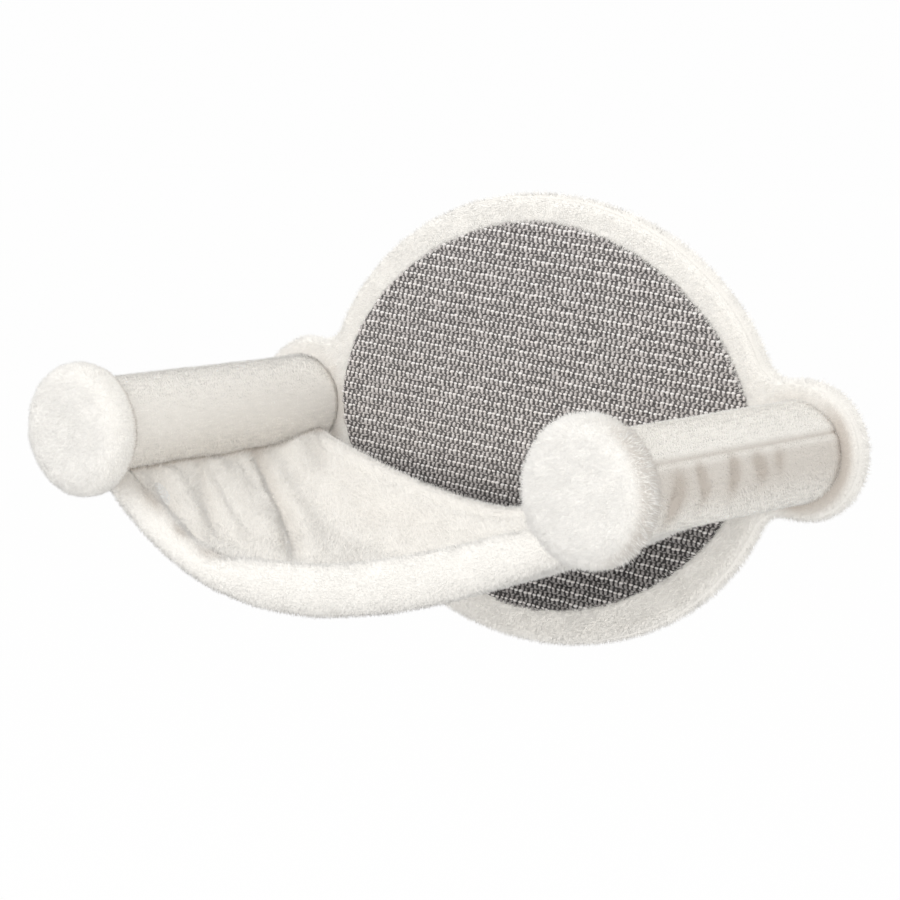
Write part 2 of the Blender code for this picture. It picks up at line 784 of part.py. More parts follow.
def rim_rings(front, shrink, runout=0.0):
    """Rings of one rolled rim; shrink makes them smaller all round, and a negative one larger."""
    out = FRONT_RIM_OUT if front else BACK_RIM_OUT
    end, low = (FRONT_RIM_END, FRONT_RIM_LOW) if front else (BACK_RIM_END, BACK_RIM_LOW)
    full = FRONT_RIM_HALF_HEIGHT if front else BACK_RIM_HALF_HEIGHT
    share = 1.0 if front else 0.0
    step = POST_X / 500

    def bottom(x):
        return Vector((x, -out, hung(low, end, x, share)))

    stations = [POST_X * (2 * i / (RIM_STATIONS - 1) - 1) for i in range(RIM_STATIONS)]
    if runout:
        stations = [-POST_X - runout] + stations + [POST_X + runout]
    rings = []
    for x in stations:
        tangent = (bottom(x + step) - bottom(x - step)).normalized()
        up = Vector((-tangent.z, 0.0, tangent.x))
        half_height = blend(full, RIM_END_HALF_HEIGHT, min(abs(x) / POST_X, 1.0) ** 3)
        half_depth = min(RIM_HALF_DEPTH, half_height) - shrink
        centre = bottom(x) + up * half_height
        ring = []
        for k in range(RIM_SIDES):
            turn = 2 * math.pi * k / RIM_SIDES
            side = Vector((0.0, half_depth * math.cos(turn), 0.0))
            ring.append(centre + side + up * (half_height - shrink) * math.sin(turn))
        rings.append(ring)
    return rings


def rim_shell(front):
    item = bpy.data.objects.new("shell", loft(rim_rings(front, 0.0), closed_ends=False))
    solid = item.modifiers.new("wall", "SOLIDIFY")
    solid.thickness = RIM_WALL
    solid.offset = -1.0
    solid.use_even_offset = True
    return evaluated_mesh(item)


def sling(bed):
    plush = cream_plush()
    wadding = material("wadding", (0.93, 0.93, 0.92), 1.0)
    second = LAYER_THICK + GAP
    third = second + WADDING_THICK + GAP
    layers = [
        bed.add("hammock_top", sling_layer(0.0, LAYER_THICK), plush),
        bed.add("hammock_wadding", sling_layer(second, WADDING_THICK), wadding),
        bed.add("hammock_underside", sling_layer(third, LAYER_THICK), plush),
    ]
    rims = []
    for name, front in (("front_rim", True), ("back_rim", False)):
        rims.append(bed.add(f"{name}_cover", rim_shell(front), plush))
        core = loft(rim_rings(front, RIM_WALL + SLIP))
        rims.append(bed.add(f"{name}_filling", core, wadding))
        for layer in layers:
            bed.cut(layer, loft(rim_rings(front, -GAP, RIM_RUNOUT)))
    room = SLEEVE_RADIUS + GAP
    for x in (-POST_X, POST_X):
        for piece in layers + rims:
            bed.cut(piece, rod(room, BOARD_FRONT, CAP_FRONT, x))


def main():
    clear_scene()
    bed = Bed()
    back_board(bed)
    board_cover(bed)
    scratch_mat(bed)
    hangers(bed)
    for side, x, seam_angle in (
        ("left", -POST_X, LEFT_SEAM_ANGLE),
        ("right", POST_X, RIGHT_SEAM_ANGLE),
    ):
        post(bed, side, x, seam_angle)
        post_bolt(bed, side, x)
        cap(bed, side, x)
        cap_stud(bed, side, x)
    sling(bed)


main()
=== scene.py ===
"""Looks of a wall-mounted cat bed: plush board, posts and caps, a padded sling and a woven mat."""

import math

import bmesh
import bpy
import numpy as np
from mathutils import Matrix, Vector, noise


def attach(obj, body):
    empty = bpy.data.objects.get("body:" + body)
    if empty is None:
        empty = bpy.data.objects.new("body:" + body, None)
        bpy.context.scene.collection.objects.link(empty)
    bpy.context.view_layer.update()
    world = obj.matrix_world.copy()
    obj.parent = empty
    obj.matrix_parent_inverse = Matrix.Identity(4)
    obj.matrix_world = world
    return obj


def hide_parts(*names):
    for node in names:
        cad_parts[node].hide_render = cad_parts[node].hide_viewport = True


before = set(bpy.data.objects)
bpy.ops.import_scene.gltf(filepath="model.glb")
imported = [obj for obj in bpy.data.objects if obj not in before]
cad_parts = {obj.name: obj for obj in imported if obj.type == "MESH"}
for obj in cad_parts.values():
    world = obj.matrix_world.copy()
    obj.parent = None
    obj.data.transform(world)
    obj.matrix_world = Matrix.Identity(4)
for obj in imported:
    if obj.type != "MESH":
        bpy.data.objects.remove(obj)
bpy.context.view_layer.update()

bl_info = {
    "name": "Wall cat bed looks",
    "version": (1, 0, 0),
    "blender": (4, 5, 0),
    "location": "3D View > Sidebar > Cat bed",
    "description": "Dresses the packed wall-mounted cat bed in plush, sisal, board and steel",
    "category": "Object",
}

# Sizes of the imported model, in metres; "out" is the distance from the wall
POST_X = 0.224
BOARD_HALF_WIDTH, BOARD_HALF_HEIGHT, BOARD_RISE = 0.2005, 0.1610, 0.0022
BOARD_BACK, BOARD_FRONT = 0.0028, 0.0148
EAR_RADIUS, EAR_BLEND = 0.0452, 0.026
MAT_HALF_WIDTH, MAT_HALF_HEIGHT, MAT_RISE, MAT_POWER = 0.1846, 0.1408, 0.0050, 1.86
MAT_FRONT = 0.0189
HEM_HALF_WIDTH, HEM_HALF_HEIGHT = 0.1665, 0.1270
TUBE_RADIUS, TUBE_REAR, TUBE_FRONT = 0.0318, 0.0188, 0.2418
SLEEVE_RADIUS = 0.0355
SEAM_ANGLES = {"left": 165.0, "right": 29.0}
CAP_RADIUS, CAP_REAR, CAP_MOUTH = 0.044, 0.2458, 0.024
PADDING_REAR, PADDING_FRONT = 0.2581, 0.2629
FRONT_RIM_OUT, BACK_RIM_OUT = 0.2283, 0.0365
SLING_END, SLING_LOW_BACK, SLING_LOW_FRONT, BELLY = -0.022, -0.086, -0.102, 0.004
LOW_X_BACK, LOW_X_FRONT = -0.015, -0.038
CURL_LEFT_BACK, CURL_LEFT_FRONT, CURL_RIGHT_BACK, CURL_RIGHT_FRONT = 1.80, 2.55, 1.50, 1.60
RIGHT_RAISE = 0.006
RIM_HALF_DEPTH, RIM_END_HALF_HEIGHT, RIM_WALL = 0.012, 0.010, 0.0028
FRONT_RIM_HALF_HEIGHT, FRONT_RIM_LOW, FRONT_RIM_END = 0.0195, -0.115, -0.042
BACK_RIM_HALF_HEIGHT, BACK_RIM_LOW, BACK_RIM_END = 0.0165, -0.093, -0.030

# The gap between a cloth and what it covers, the cloth's thickness, and the radius of the
# cloth on a post, without its pile
GAP = 0.0003
BACKING = 0.0013
POST_GROUND = TUBE_RADIUS + 0.0007 + BACKING
SIDES = {"left": -1, "right": 1}

# The weave's rows: the distance between two of them, and how far they slant, in radians
ROW_PITCH, WEAVE_TURN = 0.00836, -0.091

# The camera: its place, its focal length and sensor in mm, and its turns in radians
CAMERA_PLACE, CAMERA_LENS, SENSOR_WIDTH = (1.2838, -1.6975, 0.2697), 117.51, 36.0
CAMERA_YAW, CAMERA_PITCH, CAMERA_ROLL = 0.682, 0.136, 0.005
# The place both lamps are aimed at, and the floor's half width and height
LAMP_TARGET = (0.0, -0.13, -0.03)
FLOOR_HALF_WIDTH, FLOOR_HEIGHT = 14.0, -0.62


def blend(first, second, share):
    return first + (second - first) * share


def ramp(low, high, value):
    """0 below low, 1 above high and smooth between them."""
    t = np.clip((value - low) / (high - low), 0.0, 1.0)
    return t * t * (3 - 2 * t)


# Node trees


def put(tree, kind, inputs=(), **settings):
    """A new node with its settings and inputs; an input is a value or another node's output."""
    node = tree.nodes.new(kind)
    for key, value in settings.items():
        setattr(node, key, value)
    for key, value in dict(inputs).items():
        if isinstance(key, int):
            target = node.inputs[key]
        else:
            target = next(s for s in node.inputs if s.name == key and s.enabled)
        if isinstance(value, bpy.types.NodeSocket):
            tree.links.new(value, target)
        else:
            target.default_value = value
    return node


def out(node, name=None):
    return next(s for s in node.outputs if s.enabled and name in (None, s.name))


def math_of(tree, operation, *values):
    return out(put(tree, "ShaderNodeMath", dict(enumerate(values)), operation=operation))


def vector_of(tree, operation, *values):
    inputs = dict(enumerate(values))
    return out(put(tree, "ShaderNodeVectorMath", inputs, operation=operation))


def scaled(tree, vector, factor):
    inputs = {0: vector, 3: factor}
    return out(put(tree, "ShaderNodeVectorMath", inputs, operation="SCALE"))


def xyz(tree, x=0.0, y=0.0, z=0.0):
    return out(put(tree, "ShaderNodeCombineXYZ", {0: x, 1: y, 2: z}))


def new_group(name, kind, inputs, outputs):
    """An empty node group, its input node and its output node."""
    tree = bpy.data.node_groups.new(name, kind)
    for label, socket, value in inputs:
        made = tree.interface.new_socket(name=label, in_out="INPUT", socket_type=socket)
        if value is not None:
            made.default_value = value
    for label, socket in outputs:
        tree.interface.new_socket(name=label, in_out="OUTPUT", socket_type=socket)
    return tree, tree.nodes.new("NodeGroupInput"), tree.nodes.new("NodeGroupOutput")


def group_named(name, make):
    return bpy.data.node_groups.get(name) or make(name)


def attribute(tree, name, kind="FLOAT"):
    node = put(tree, "GeometryNodeInputNamedAttribute", {"Name": name}, data_type=kind)
    return out(node, "Attribute")


def store(tree, geometry, name, value, kind="FLOAT", domain="POINT"):
    node = put(
        tree,
        "GeometryNodeStoreNamedAttribute",
        {"Geometry": geometry, "Name": name, "Value": value},
        data_type=kind,
        domain=domain,
    )
    return out(node)


def random_of(tree, low, high, seed, kind="FLOAT"):
    start = {"FLOAT_VECTOR": 0, "FLOAT": 2}[kind]
    inputs = {start: low, start + 1: high, 8: seed}
    return out(put(tree, "FunctionNodeRandomValue", inputs, data_type=kind))


def number_cells(tree, instances, across):
    """Gives each instance a square of its own in the colour map."""
    index = out(put(tree, "GeometryNodeInputIndex"))
    column = math_of(tree, "MODULO", index, across)
    row = math_of(tree, "FLOOR", math_of(tree, "DIVIDE", index, across))
    return store(tree, instances, "cell", xyz(tree, column, row), "FLOAT_VECTOR", "INSTANCE")


def map_cells(tree, geometry, across, u_name, v_name):
    """Writes the colour map: two attributes say where in its own square each corner lies.

    A tenth of the square is left free on each side.
    """
    u, v = (
        math_of(tree, "MULTIPLY_ADD", attribute(tree, name), 0.8, 0.1) for name in (u_name, v_name)
    )
    spot = vector_of(tree, "ADD", attribute(tree, "cell", "FLOAT_VECTOR"), xyz(tree, u, v))
    where = vector_of(tree, "DIVIDE", spot, xyz(tree, across, across, across))
    return store(tree, geometry, "OFBake", where, "FLOAT2", "CORNER")


def without(tree, geometry, *names):
    """The geometry with the attributes taken off."""
    for name in names:
        inputs = {"Geometry": geometry, "Name": name}
        geometry = out(put(tree, "GeometryNodeRemoveAttribute", inputs))
    return geometry


def end_tree(tree, geometry, finish, made, smooth=True):
    """Ends a tree: smooth shading, the material and the group's output."""
    if smooth:
        geometry = out(put(tree, "GeometryNodeSetShadeSmooth", {"Geometry": geometry}))
    inputs = {"Geometry": geometry, "Material": finish}
    tree.links.new(out(put(tree, "GeometryNodeSetMaterial", inputs)), made.inputs[0])
    return tree


def pile_tree(name):
    """Short leaning strands all over a mesh, as many as its pile attribute says."""
    tree, given, made = new_group(
        name,
        "GeometryNodeTree",
        [
            ("Cloth", "NodeSocketGeometry", None),
            ("Strands", "NodeSocketFloat", 1000.0),
            ("Length", "NodeSocketFloat", 0.004),
            ("Width", "NodeSocketFloat", 0.0004),
            ("Lean", "NodeSocketFloat", 0.5),
            ("Tuft lean", "NodeSocketFloat", 0.8),
            ("Tuft scale", "NodeSocketFloat", 110.0),
            ("Nap", "NodeSocketVector", (0.0, 0.0, 0.0)),
            ("Map squares", "NodeSocketFloat", 220.0),
            ("Seed", "NodeSocketInt", 1),
            ("Finish", "NodeSocketMaterial", None),
        ],
        [("Pile", "NodeSocketGeometry")],
    )
    get = given.outputs
    density = math_of(tree, "MULTIPLY", attribute(tree, "pile"), get["Strands"])
    points = put(
        tree,
        "GeometryNodeDistributePointsOnFaces",
        {"Mesh": get["Cloth"], "Density": density, "Seed": get["Seed"]},
        distribute_method="RANDOM",
    )
    where = out(put(tree, "GeometryNodeInputPosition"))
    tufts = put(
        tree,
        "ShaderNodeTexNoise",
        {"Vector": where, "Scale": get["Tuft scale"], "Detail": 1.0},
        noise_dimensions="3D",
    )
    sway = vector_of(tree, "SUBTRACT", out(tufts, "Color"), (0.5, 0.5, 0.5))
    sway = scaled(tree, sway, get["Tuft lean"])
    stray = random_of(tree, (-1.0,) * 3, (1.0,) * 3, get["Seed"], "FLOAT_VECTOR")
    stray = scaled(tree, stray, get["Lean"])
    aim = vector_of(tree, "ADD", out(points, "Normal"), get["Nap"])
    aim = vector_of(tree, "ADD", vector_of(tree, "ADD", aim, sway), stray)
    turn = out(put(tree, "FunctionNodeAlignRotationToVector", {"Vector": aim}, axis="Z"))
    cone = put(
        tree,
        "GeometryNodeMeshCone",
        {
            "Vertices": 3,
            "Side Segments": 1,
            "Fill Segments": 1,
            "Radius Top": 0.0,
            "Radius Bottom": 0.5,
            "Depth": 1.0,
        },
        fill_type="NGON",
    )
    axes = put(tree, "ShaderNodeSeparateXYZ", {0: where})
    strand = store(tree, out(cone, "Mesh"), "height", out(axes, "Z"))
    across = math_of(tree, "ADD", out(axes, "X"), 0.5)
    strand = store(tree, strand, "across", across)
    vary = random_of(tree, 0.65, 1.15, get["Seed"])
    long = math_of(tree, "MULTIPLY", get["Length"], vary)
    long = math_of(tree, "MULTIPLY", long, attribute(tree, "pile"))
    planted = put(
        tree,
        "GeometryNodeInstanceOnPoints",
        {
            "Points": out(points, "Points"),
            "Instance": strand,
            "Rotation": turn,
            "Scale": xyz(tree, get["Width"], get["Width"], long),
        },
    )
    tint = random_of(tree, 0.0, 1.0, get["Seed"])
    pile = store(tree, out(planted), "tint", tint, "FLOAT", "INSTANCE")
    pile = store(tree, pile, "ground", out(points, "Normal"), "FLOAT_VECTOR", "INSTANCE")
    pile = number_cells(tree, pile, get["Map squares"])
    pile = out(put(tree, "GeometryNodeRealizeInstances", {"Geometry": pile}))
    pile = map_cells(tree, pile, get["Map squares"], "across", "height")
    pile = without(tree, pile, "cell", "across", "pile")
    return end_tree(tree, pile, get["Finish"], made)


def weave_tree(name):
    """Low oval loops of yarn in slanting rows that fill an oval in the wall's plane."""
    tree, given, made = new_group(
        name,
        "GeometryNodeTree",
        [
            ("Ground", "NodeSocketGeometry", None),
            ("Half width", "NodeSocketFloat", 0.18),
            ("Half height", "NodeSocketFloat", 0.14),
            ("Power", "NodeSocketFloat", 2.0),
            ("Column pitch", "NodeSocketFloat", 0.004),
            ("Row pitch", "NodeSocketFloat", 0.0077),
            ("Columns", "NodeSocketInt", 92),
            ("Rows", "NodeSocketInt", 36),
            ("Shift", "NodeSocketVector", (0.0, 0.0, 0.0)),
            ("Turn", "NodeSocketFloat", 0.0),
            ("Loop", "NodeSocketVector", (0.002, 0.003, 0.001)),
            ("Tilt", "NodeSocketFloat", 0.2),
            ("Stray", "NodeSocketFloat", 0.0003),
            ("Map squares", "NodeSocketFloat", 80.0),
            ("Seed", "NodeSocketInt", 1),
            ("Finish", "NodeSocketMaterial", None),
        ],
        [("Weave", "NodeSocketGeometry")],
    )
    get = given.outputs
    across, high = (
        math_of(tree, "MULTIPLY", math_of(tree, "SUBTRACT", get[number], 1.0), get[pitch])
        for number, pitch in (("Columns", "Column pitch"), ("Rows", "Row pitch"))
    )
    grid = put(
        tree,
        "GeometryNodeMeshGrid",
        {"Size X": across, "Size Y": high, "Vertices X": get["Columns"], "Vertices Y": get["Rows"]},
    )
    where = out(put(tree, "GeometryNodeInputPosition"))
    place = out(
        put(
            tree,
            "ShaderNodeVectorRotate",
            {"Vector": vector_of(tree, "ADD", where, get["Shift"]), "Angle": get["Turn"]},
            rotation_type="Z_AXIS",
        )
    )
    # The test for the oval is read once the points have moved, so it takes their final place
    axes = put(tree, "ShaderNodeSeparateXYZ", {0: where})
    shares = []
    for axis, half in (("X", "Half width"), ("Y", "Half height")):
        share = math_of(tree, "ABSOLUTE", math_of(tree, "DIVIDE", out(axes, axis), get[half]))
        shares.append(math_of(tree, "POWER", share, get["Power"]))
    inside = math_of(tree, "LESS_THAN", math_of(tree, "ADD", *shares), 1.0)
    stray = random_of(tree, (-1.0, -1.0, 0.0), (1.0, 1.0, 0.0), get["Seed"], "FLOAT_VECTOR")
    stray = scaled(tree, stray, get["Stray"])
    moved = put(
        tree,
        "GeometryNodeSetPosition",
        {"Geometry": out(grid, "Mesh"), "Position": vector_of(tree, "ADD", place, stray)},
    )
    loop = out(
        put(tree, "GeometryNodeMeshUVSphere", {"Segments": 6, "Rings": 3, "Radius": 0.5}), "Mesh"
    )
    for label, axis in (("height", "Z"), ("across", "X"), ("along", "Y")):
        loop = store(tree, loop, label, math_of(tree, "ADD", out(axes, axis), 0.5))
    lean = math_of(
        tree, "MULTIPLY_ADD", random_of(tree, -1.0, 1.0, get["Seed"]), get["Tilt"], get["Turn"]
    )
    vary = random_of(tree, 0.74, 1.2, get["Seed"])
    laid = put(
        tree,
        "GeometryNodeInstanceOnPoints",
        {
            "Points": out(moved),
            "Selection": inside,
            "Instance": loop,
            "Rotation": xyz(tree, z=lean),
            "Scale": scaled(tree, get["Loop"], vary),
        },
    )
    tint = random_of(tree, 0.0, 1.0, get["Seed"])
    weave = store(tree, out(laid), "tint", tint, "FLOAT", "INSTANCE")
    weave = number_cells(tree, weave, get["Map squares"])
    weave = out(put(tree, "GeometryNodeRealizeInstances", {"Geometry": weave}))
    weave = map_cells(tree, weave, get["Map squares"], "across", "along")
    weave = without(tree, weave, "cell", "across", "along")
    weave = out(
        put(
            tree,
            "GeometryNodeTransform",
            {"Geometry": weave, "Rotation": (math.pi / 2, 0.0, 0.0)},
        )
    )
    return end_tree(tree, weave, get["Finish"], made)


def staple_tree(name):
    """Staples spaced evenly along a line, each a square bent wire with short legs."""
    tree, given, made = new_group(
        name,
        "GeometryNodeTree",
        [
            ("Line", "NodeSocketGeometry", None),
            ("Number", "NodeSocketInt", 50),
            ("Crown", "NodeSocketFloat", 0.01),
            ("Wire", "NodeSocketFloat", 0.0007),
            ("Seed", "NodeSocketInt", 1),
            ("Finish", "NodeSocketMaterial", None),
        ],
        [("Staples", "NodeSocketGeometry")],
    )
    get = given.outputs
    line = out(put(tree, "GeometryNodeMeshToCurve", {"Mesh": get["Line"]}))
    points = put(
        tree, "GeometryNodeCurveToPoints", {"Curve": line, "Count": get["Number"]}, mode="COUNT"
    )
    half = math_of(tree, "MULTIPLY", get["Crown"], 0.5)
    leg = math_of(tree, "MULTIPLY", get["Wire"], -2.0)
    # The wire's four points are moved to the foot of one leg, the crown's ends and the other foot
    crown = put(tree, "GeometryNodeCurvePrimitiveLine", {"Start": (0, 0, 0), "End": (1, 0, 0)})
    wire = out(put(tree, "GeometryNodeResampleCurve", {"Curve": out(crown), "Count": 4}))
    index = out(put(tree, "GeometryNodeInputIndex"))
    end = math_of(tree, "COMPARE", index, 1.5, 1.0)
    beyond = math_of(tree, "GREATER_THAN", index, 1.5)
    x = math_of(tree, "MULTIPLY", math_of(tree, "MULTIPLY_ADD", beyond, 2.0, -1.0), half)
    y = math_of(tree, "MULTIPLY", math_of(tree, "SUBTRACT", 1.0, end), leg)
    wire = put(tree, "GeometryNodeSetPosition", {"Geometry": wire, "Position": xyz(tree, x, y)})
    round_wire = put(
        tree,
        "GeometryNodeCurvePrimitiveCircle",
        {"Resolution": 6, "Radius": math_of(tree, "MULTIPLY", get["Wire"], 0.5)},
    )
    staple = put(
        tree,
        "GeometryNodeCurveToMesh",
        {"Curve": out(wire), "Profile Curve": out(round_wire), "Fill Caps": True},
    )
    tangent = out(points, "Tangent")
    turn = out(put(tree, "FunctionNodeAlignRotationToVector", {"Vector": tangent}, axis="X"))
    planted = put(
        tree,
        "GeometryNodeInstanceOnPoints",
        {"Points": out(points, "Points"), "Instance": out(staple), "Rotation": turn},
    )
    wobble = random_of(tree, -0.12, 0.12, get["Seed"])
    swung = put(
        tree,
        "GeometryNodeRotateInstances",
        {"Instances": out(planted), "Rotation": xyz(tree, y=wobble)},
    )
    solid = out(put(tree, "GeometryNodeRealizeInstances", {"Geometry": out(swung)}))
    return end_tree(tree, solid, get["Finish"], made, smooth=False)


def grown(name, tree, ground, inputs, material):
    """The plain mesh piece that a tree makes on the ground mesh, with its named inputs set."""
    item = bpy.data.objects.new(name, ground)
    bpy.context.scene.collection.objects.link(item)
    grow = item.modifiers.new("grow", "NODES")
    grow.node_group = tree
    named = {
        entry.name: entry.identifier
        for entry in tree.interface.items_tree
        if entry.item_type == "SOCKET" and entry.in_out == "INPUT"
    }
    for key, value in {**inputs, "Finish": material}.items():
        grow[named[key]] = value
    mesh = plain_mesh(item, name)
    mesh.materials.clear()
    mesh.materials.append(material)
    return new_piece(name, mesh)


def plain_mesh(item, name):
    """The mesh that an object shows with its modifiers; the object itself is removed."""
    bpy.context.view_layer.update()
    graph = bpy.context.evaluated_depsgraph_get()
    mesh = bpy.data.meshes.new_from_object(item.evaluated_get(graph), depsgraph=graph)
    mesh.name = name
    bpy.data.objects.remove(item, do_unlink=True)
    return mesh


def new_piece(name, mesh, *materials):
    for material in materials:
        mesh.materials.append(material)
    item = bpy.data.objects.new(name, mesh)
    bpy.context.scene.collection.objects.link(item)
    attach(item, "root")
    return item


# Finishes


def patches_group(name):
    """Two colours mixed by soft patches over the piece."""
    tree, given, made = new_group(
        name,
        "ShaderNodeTree",
        [
            ("Colour", "NodeSocketColor", (0.8, 0.8, 0.8, 1.0)),
            ("Other colour", "NodeSocketColor", (0.7, 0.7, 0.7, 1.0)),
            ("Scale", "NodeSocketFloat", 20.0),
            ("Detail", "NodeSocketFloat", 3.0),
            ("Contrast", "NodeSocketFloat", 1.0),
        ],
        [("Colour", "NodeSocketColor"), ("Mask", "NodeSocketFloat")],
    )
    get = given.outputs
    place = out(put(tree, "ShaderNodeTexCoord"), "Object")
    cloud = put(
        tree,
        "ShaderNodeTexNoise",
        {"Vector": place, "Scale": get["Scale"], "Detail": get["Detail"]},
    )
    off = math_of(tree, "SUBTRACT", out(cloud), 0.5)
    mask = math_of(tree, "MULTIPLY", off, get["Contrast"])
    mask = math_of(tree, "ADD", mask, 0.5)
    mask = out(put(tree, "ShaderNodeClamp", {0: mask}))
    colour = mixed(tree, mask, get["Colour"], get["Other colour"])
    tree.links.new(colour, made.inputs["Colour"])
    tree.links.new(mask, made.inputs["Mask"])
    return tree


def mixed(tree, share, first, second, kind="MIX"):
    inputs = {"Factor": share, "A": first, "B": second}
    return out(put(tree, "ShaderNodeMix", inputs, data_type="RGBA", blend_type=kind))


def new_material(name):
    """A material, its node tree and its Principled shader."""
    material = bpy.data.materials.new(name)
    material.use_nodes = True
    tree = material.node_tree
    shader = tree.nodes["Principled BSDF"]
    return material, tree, shader


def patched(tree, colour, other, scale, detail=3.0, contrast=2.0):
    """Two colours in soft patches, and the patches' mask."""
    node = put(tree, "ShaderNodeGroup", node_tree=group_named("Soft patches", patches_group))
    for key, value in (
        ("Colour", colour),
        ("Other colour", other),
        ("Scale", scale),
        ("Detail", detail),
        ("Contrast", contrast),
    ):
        if isinstance(value, bpy.types.NodeSocket):
            tree.links.new(value, node.inputs[key])
        else:
            node.inputs[key].default_value = value
    return node.outputs["Colour"], node.outputs["Mask"]


def bumped(tree, shader, height, strength, distance):
    inputs = {"Height": height, "Strength": strength, "Distance": distance}
    tree.links.new(out(put(tree, "ShaderNodeBump", inputs)), shader.inputs["Normal"])


def read(tree, name):
    """A number that the mesh holds under a name."""
    return out(put(tree, "ShaderNodeAttribute", attribute_name=name), "Fac")


def rgb(colour, share=1.0):
    return (colour[0] * share, colour[1] * share, colour[2] * share, 1.0)


def streaks_group(name):
    """Short soft streaks that lie straight out from the wall, as the nap of the pile does."""
    tree, given, made = new_group(
        name,
        "ShaderNodeTree",
        [
            ("Fineness", "NodeSocketFloat", 480.0),
            ("Stretch", "NodeSocketFloat", 5.0),
            ("Depth", "NodeSocketFloat", 0.1),
        ],
        [("Value", "NodeSocketFloat")],
    )
    get = given.outputs
    place = out(put(tree, "ShaderNodeTexCoord"), "Object")
    squeeze = math_of(tree, "DIVIDE", 1.0, get["Stretch"])
    where = vector_of(tree, "MULTIPLY", place, xyz(tree, 1.0, squeeze, 1.0))
    cloud = put(
        tree, "ShaderNodeTexNoise", {"Vector": where, "Scale": get["Fineness"], "Detail": 2.0}
    )
    off = math_of(tree, "MULTIPLY", math_of(tree, "SUBTRACT", out(cloud), 0.5), get["Depth"])
    tree.links.new(math_of(tree, "ADD", off, 1.0), made.inputs["Value"])
    return tree


def plush_pile_material(name, tip, root, painted_shade_colour, streaky):
    """Strands that are darker at the root, as painted shade deep in the pile, each a little
    different, in soft streaks and patches, and mixed with painted shade where the mesh marks it.
    """
    material, tree, shader = new_material(name)
    up = out(put(tree, "ShaderNodeClamp", {0: read(tree, "height")}))
    # Painted shade: the root colour is darker than the tip's and stands for the shade deep in the
    # pile, whose strands cast none.
    along = mixed(tree, up, rgb(root), rgb(tip))
    # Painted shade: the shade attribute mixes in the painted shade colour in creases, crevices and
    # shaded sides.
    shade = mixed(tree, read(tree, "shade"), along, rgb(painted_shade_colour))
    less = math_of(tree, "POWER", math_of(tree, "SUBTRACT", 1.0, read(tree, "tint")), 2.0)
    vary = math_of(tree, "MULTIPLY_ADD", less, -0.14, 1.04)
    streaks = put(tree, "ShaderNodeGroup", node_tree=group_named("Streaks", streaks_group))
    streaks.inputs["Depth"].default_value = streaky
    vary = math_of(tree, "MULTIPLY", vary, out(streaks))
    hue = put(tree, "ShaderNodeHueSaturation", {"Color": shade, "Value": vary})
    colour, _ = patched(tree, out(hue), rgb(root, 1.02), 14.0, 2.0, 0.9)
    softened = mixed(tree, 0.25, out(hue), colour)
    tree.links.new(softened, shader.inputs["Base Color"])
    shader.inputs["Roughness"].default_value = 0.85
    shader.inputs["Specular IOR Level"].default_value = 0.25
    shader.inputs["Sheen Weight"].default_value = 0.15
    shader.inputs["Sheen Roughness"].default_value = 0.6
    return material


def plush_cloth_material(name, colour, deep, painted_shade_colour):
    """The knitted ground under the pile, mottled as short fibre is, with painted shade mixed in
    where the mesh marks it.
    """
    material, tree, shader = new_material(name)
    tone, mask = patched(tree, rgb(colour), rgb(deep), 900.0, 4.0, 1.6)
    # Painted shade: mixed in where the shade attribute marks creases, crevices and shaded sides.
    shade = mixed(tree, read(tree, "shade"), tone, rgb(painted_shade_colour))
    tree.links.new(shade, shader.inputs["Base Color"])
    bumped(tree, shader, mask, 0.6, 0.0008)
    shader.inputs["Roughness"].default_value = 0.9
    shader.inputs["Specular IOR Level"].default_value = 0.2
    return material


def sling_shadow_group(name):
    """Painted shadow of the sling on the scratch mat: brightness 1 above the sling, falling to the
    least below it.
    """
    tree, given, made = new_group(
        name, "ShaderNodeTree", [("Least", "NodeSocketFloat", 0.6)], [("Value", "NodeSocketFloat")]
    )
    place = out(put(tree, "ShaderNodeTexCoord"), "Object")
    value = put(
        tree,
        "ShaderNodeMapRange",
        {
            "Value": out(put(tree, "ShaderNodeSeparateXYZ", {0: place}), "Z"),
            "From Min": -0.085,
            "From Max": -0.015,
            "To Min": given.outputs["Least"],
            "To Max": 1.0,
        },
        interpolation_type="SMOOTHSTEP",
    )
    tree.links.new(out(value, "Result"), made.inputs["Value"])
    return tree


# Painted shadow of the sling, as a brightness factor for the mat's finishes.
def sling_shadow_factor(tree, least):
    node = put(tree, "ShaderNodeGroup", node_tree=group_named("Sling shadow", sling_shadow_group))
    node.inputs["Least"].default_value = least
    return out(node)


def mat_ground_material(name, colour, other, least):
    """The scratch mat's ground, seen between the yarns, darker below the sling as painted shadow.
    """
    material, tree, shader = new_material(name)
    tone, mask = patched(tree, rgb(colour), rgb(other), 900.0, 4.0, 2.2)
    dimmed = put(
        tree, "ShaderNodeHueSaturation", {"Color": tone, "Value": sling_shadow_factor(tree, least)}
    )
    tree.links.new(out(dimmed), shader.inputs["Base Color"])
    bumped(tree, shader, mask, 0.5, 0.0005)
    shader.inputs["Roughness"].default_value = 0.9
    return material


